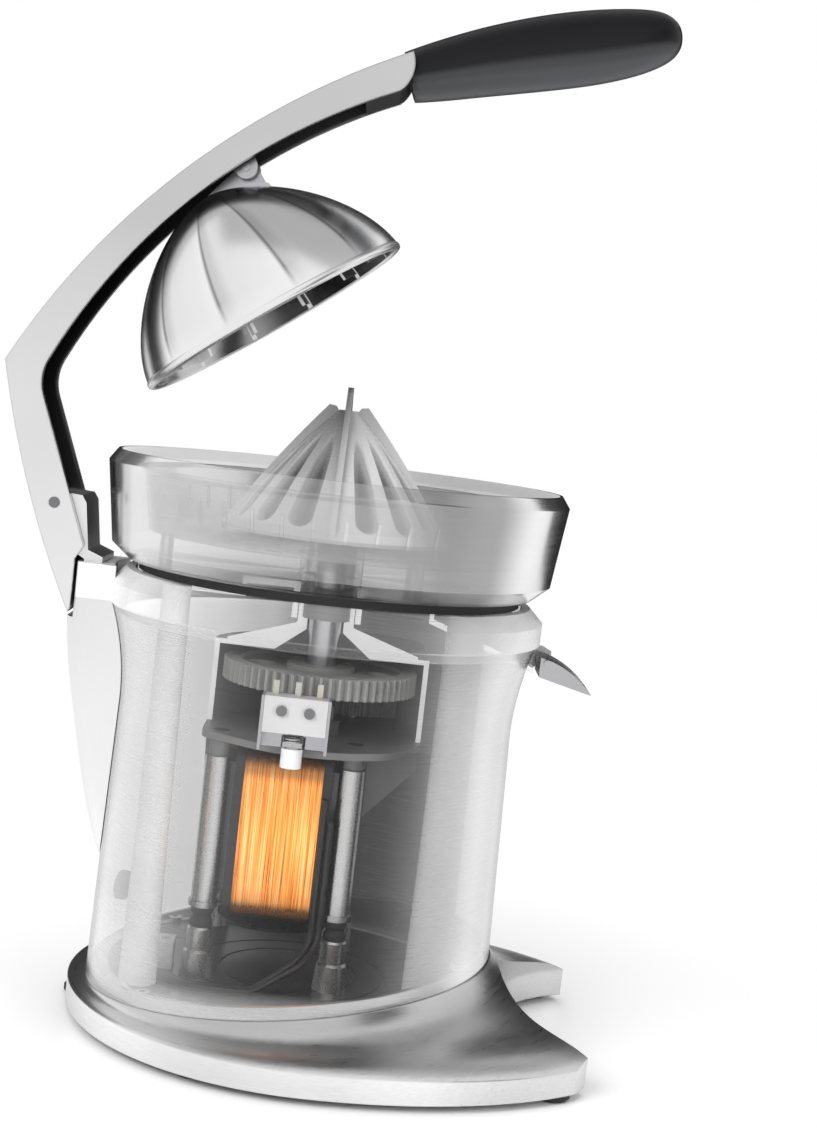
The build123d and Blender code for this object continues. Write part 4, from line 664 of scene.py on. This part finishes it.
def smooth(mesh, angle=32):
    """Smooth faces, with the edges past the given angle kept sharp."""
    mesh.shade_smooth()
    mesh.set_sharp_from_angle(angle=math.radians(angle))


def dress(node, look):
    """Gives a CAD node its material and smooth faces."""
    mesh = nodes[node].data
    mesh.materials.clear()
    mesh.materials.append(look.material)
    smooth(mesh)


def new_piece(name, mesh, looks, body, replaced=()):
    """A piece of the scene's own, with its materials, on its body."""
    piece = bpy.data.objects.new(name, mesh)
    bpy.context.scene.collection.objects.link(piece)
    mesh.materials.clear()
    for look in looks:
        mesh.materials.append(LOOKS[look].material)
    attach(piece, body)
    if replaced:
        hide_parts(*replaced)
    return piece


# Pieces in section, as the photograph shows them
CUTTER = 0.5  # side of the cube that takes the front away, in metres
CUTTER_HEIGHT = 0.15


def in_section(node, look):
    """Shows a node without what lies in front of the section, its cut faces bright."""
    shape = bmesh.new()
    shape.from_mesh(nodes[node].data)
    bmesh.ops.remove_doubles(shape, verts=shape.verts, dist=1e-6)
    mesh = bpy.data.meshes.new(node + "_whole")
    shape.to_mesh(mesh)
    shape.free()
    mesh.materials.clear()
    mesh.materials.append(LOOKS[look].material)
    whole = bpy.data.objects.new(node + "_whole", mesh)
    bpy.context.scene.collection.objects.link(whole)
    bpy.ops.mesh.primitive_cube_add(size=CUTTER, location=(0, SECTION - CUTTER / 2, CUTTER_HEIGHT))
    front = bpy.context.object
    front.data.materials.append(LOOKS["cut"].material)
    cut = whole.modifiers.new("cut", "BOOLEAN")
    cut.operation = "DIFFERENCE"
    cut.solver = "EXACT"
    cut.material_mode = "TRANSFER"
    cut.object = front
    bpy.context.view_layer.update()
    half = bpy.data.meshes.new_from_object(whole.evaluated_get(bpy.context.evaluated_depsgraph_get()))
    half.name = node + "_section"
    for done in (whole, front):
        bpy.data.objects.remove(done)
    smooth(half)
    piece = bpy.data.objects.new(node + "_section", half)
    bpy.context.scene.collection.objects.link(piece)
    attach(piece, "stand")
    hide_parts(node)


# Grip
GRIP_WIDTH = 39.0
GRIP_STATIONS = (  # along and above the lever's end, height, share of the width, lean
    (1.0, 0.4, 21.3, 0.90, 19.0),
    (11.2, 3.7, 24.6, 0.95, 18.0),
    (28.9, 9.4, 28.2, 0.98, 17.0),
    (45.4, 14.0, 30.6, 1.00, 15.5),
    (62.0, 18.2, 31.9, 1.00, 14.2),
    (78.7, 22.0, 31.6, 0.98, 13.0),
    (95.6, 26.0, 28.2, 0.92, 13.0),
    (105.9, 28.8, 23.2, 0.80, 12.5),
    (111.6, 29.8, 16.6, 0.62, 12.0),
    (114.6, 30.3, 7.0, 0.30, 12.0),
)
GRIP_SIDES = 24


def grip_ring(shape, along, above, height, share, lean):
    """One rounded section of the grip, square to its length."""
    lean = math.radians(lean)
    ring = []
    for side in range(GRIP_SIDES):
        angle = 2 * math.pi * side / GRIP_SIDES
        up = height / 2 * math.sin(angle)
        x = LEVER_END[0] + along - up * math.sin(lean)
        z = LEVER_END[1] + above + up * math.cos(lean)
        ring.append(shape.verts.new(metres(x, GRIP_WIDTH / 2 * share * math.cos(angle), z)))
    return ring


def make_grip():
    """The paddle over the lever's tang, one smooth swelling form."""
    shape = bmesh.new()
    rings = [grip_ring(shape, *station) for station in GRIP_STATIONS]
    for first, second in zip(rings, rings[1:]):
        for side in range(GRIP_SIDES):
            after = (side + 1) % GRIP_SIDES
            shape.faces.new((first[side], first[after], second[after], second[side]))
    shape.faces.new(rings[0])
    shape.faces.new(rings[-1])
    bmesh.ops.recalc_face_normals(shape, faces=shape.faces)
    crease = shape.edges.layers.float.new("crease_edge")
    for edge in shape.edges:
        if all(vert in rings[0] for vert in edge.verts):
            edge[crease] = 0.8
    mesh = bpy.data.meshes.new("grip_paddle")
    shape.to_mesh(mesh)
    shape.free()
    mesh.shade_smooth()
    piece = new_piece("grip_paddle", mesh, ("grip",), "lever", ("grip",))
    rounder = piece.modifiers.new("rounder", "SUBSURF")
    rounder.levels = 2
    rounder.render_levels = 2


# Rounded bead round the dome's rim
BEAD_RADIUS = 60.2
BEAD_WIRE = 2.1  # the bead's own radius
BEAD_RISE = 1.2  # above the middle of the dome's rim, along its axis


def make_dome_bead():
    """The bead itself, round in section."""
    rise = Vector((-math.sin(DOME_LEAN), 0, math.cos(DOME_LEAN))) * (BEAD_RISE / 1000)
    bpy.ops.curve.primitive_bezier_circle_add(
        radius=BEAD_RADIUS / 1000, location=metres(*DOME_CENTRE) + rise, rotation=(0, -DOME_LEAN, 0)
    )
    bead = bpy.context.object
    bead.name = "dome_bead"
    bead.data.resolution_u = 32
    bead.data.bevel_depth = BEAD_WIRE / 1000
    bead.data.bevel_resolution = 5
    bead.data.materials.append(LOOKS["pale"].material)
    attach(bead, "dome")


# Spring over the switch's plunger
PLUNGER_PLACE = (-6.5, -56.0)
PLUNGER_SPRING = (131.4, 134.9, 3.9, 0.35, 3.5)  # foot, top, radius, wire and turns
SPRING_STEPS = 20  # points to a turn


def make_plunger_spring():
    """An open coil between the switch and its plunger's cap."""
    foot, top, radius, wire, turns = PLUNGER_SPRING
    curve = bpy.data.curves.new("plunger_spring", "CURVE")
    curve.dimensions = "3D"
    curve.bevel_depth = wire / 1000
    curve.bevel_resolution = 3
    line = curve.splines.new("POLY")
    count = int(turns * SPRING_STEPS)
    line.points.add(count)
    for step in range(count + 1):
        angle = 2 * math.pi * step / SPRING_STEPS
        x = PLUNGER_PLACE[0] + radius * math.cos(angle)
        y = PLUNGER_PLACE[1] + radius * math.sin(angle)
        line.points[step].co = (*metres(x, y, foot + (top - foot) * step / count), 1)
    spring = bpy.data.objects.new("plunger_spring", curve)
    bpy.context.scene.collection.objects.link(spring)
    curve.materials.append(LOOKS["sleeve"].material)
    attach(spring, "stand")


make_camera()
for look_name, members in NODE_LOOKS.items():
    for member in members:
        dress(member, LOOKS[look_name])
in_section("gearbox_case", "case")
in_section("deck", "deck")
make_grip()
make_dome_bead()
make_plunger_spring()
make_studio()
make_floor()
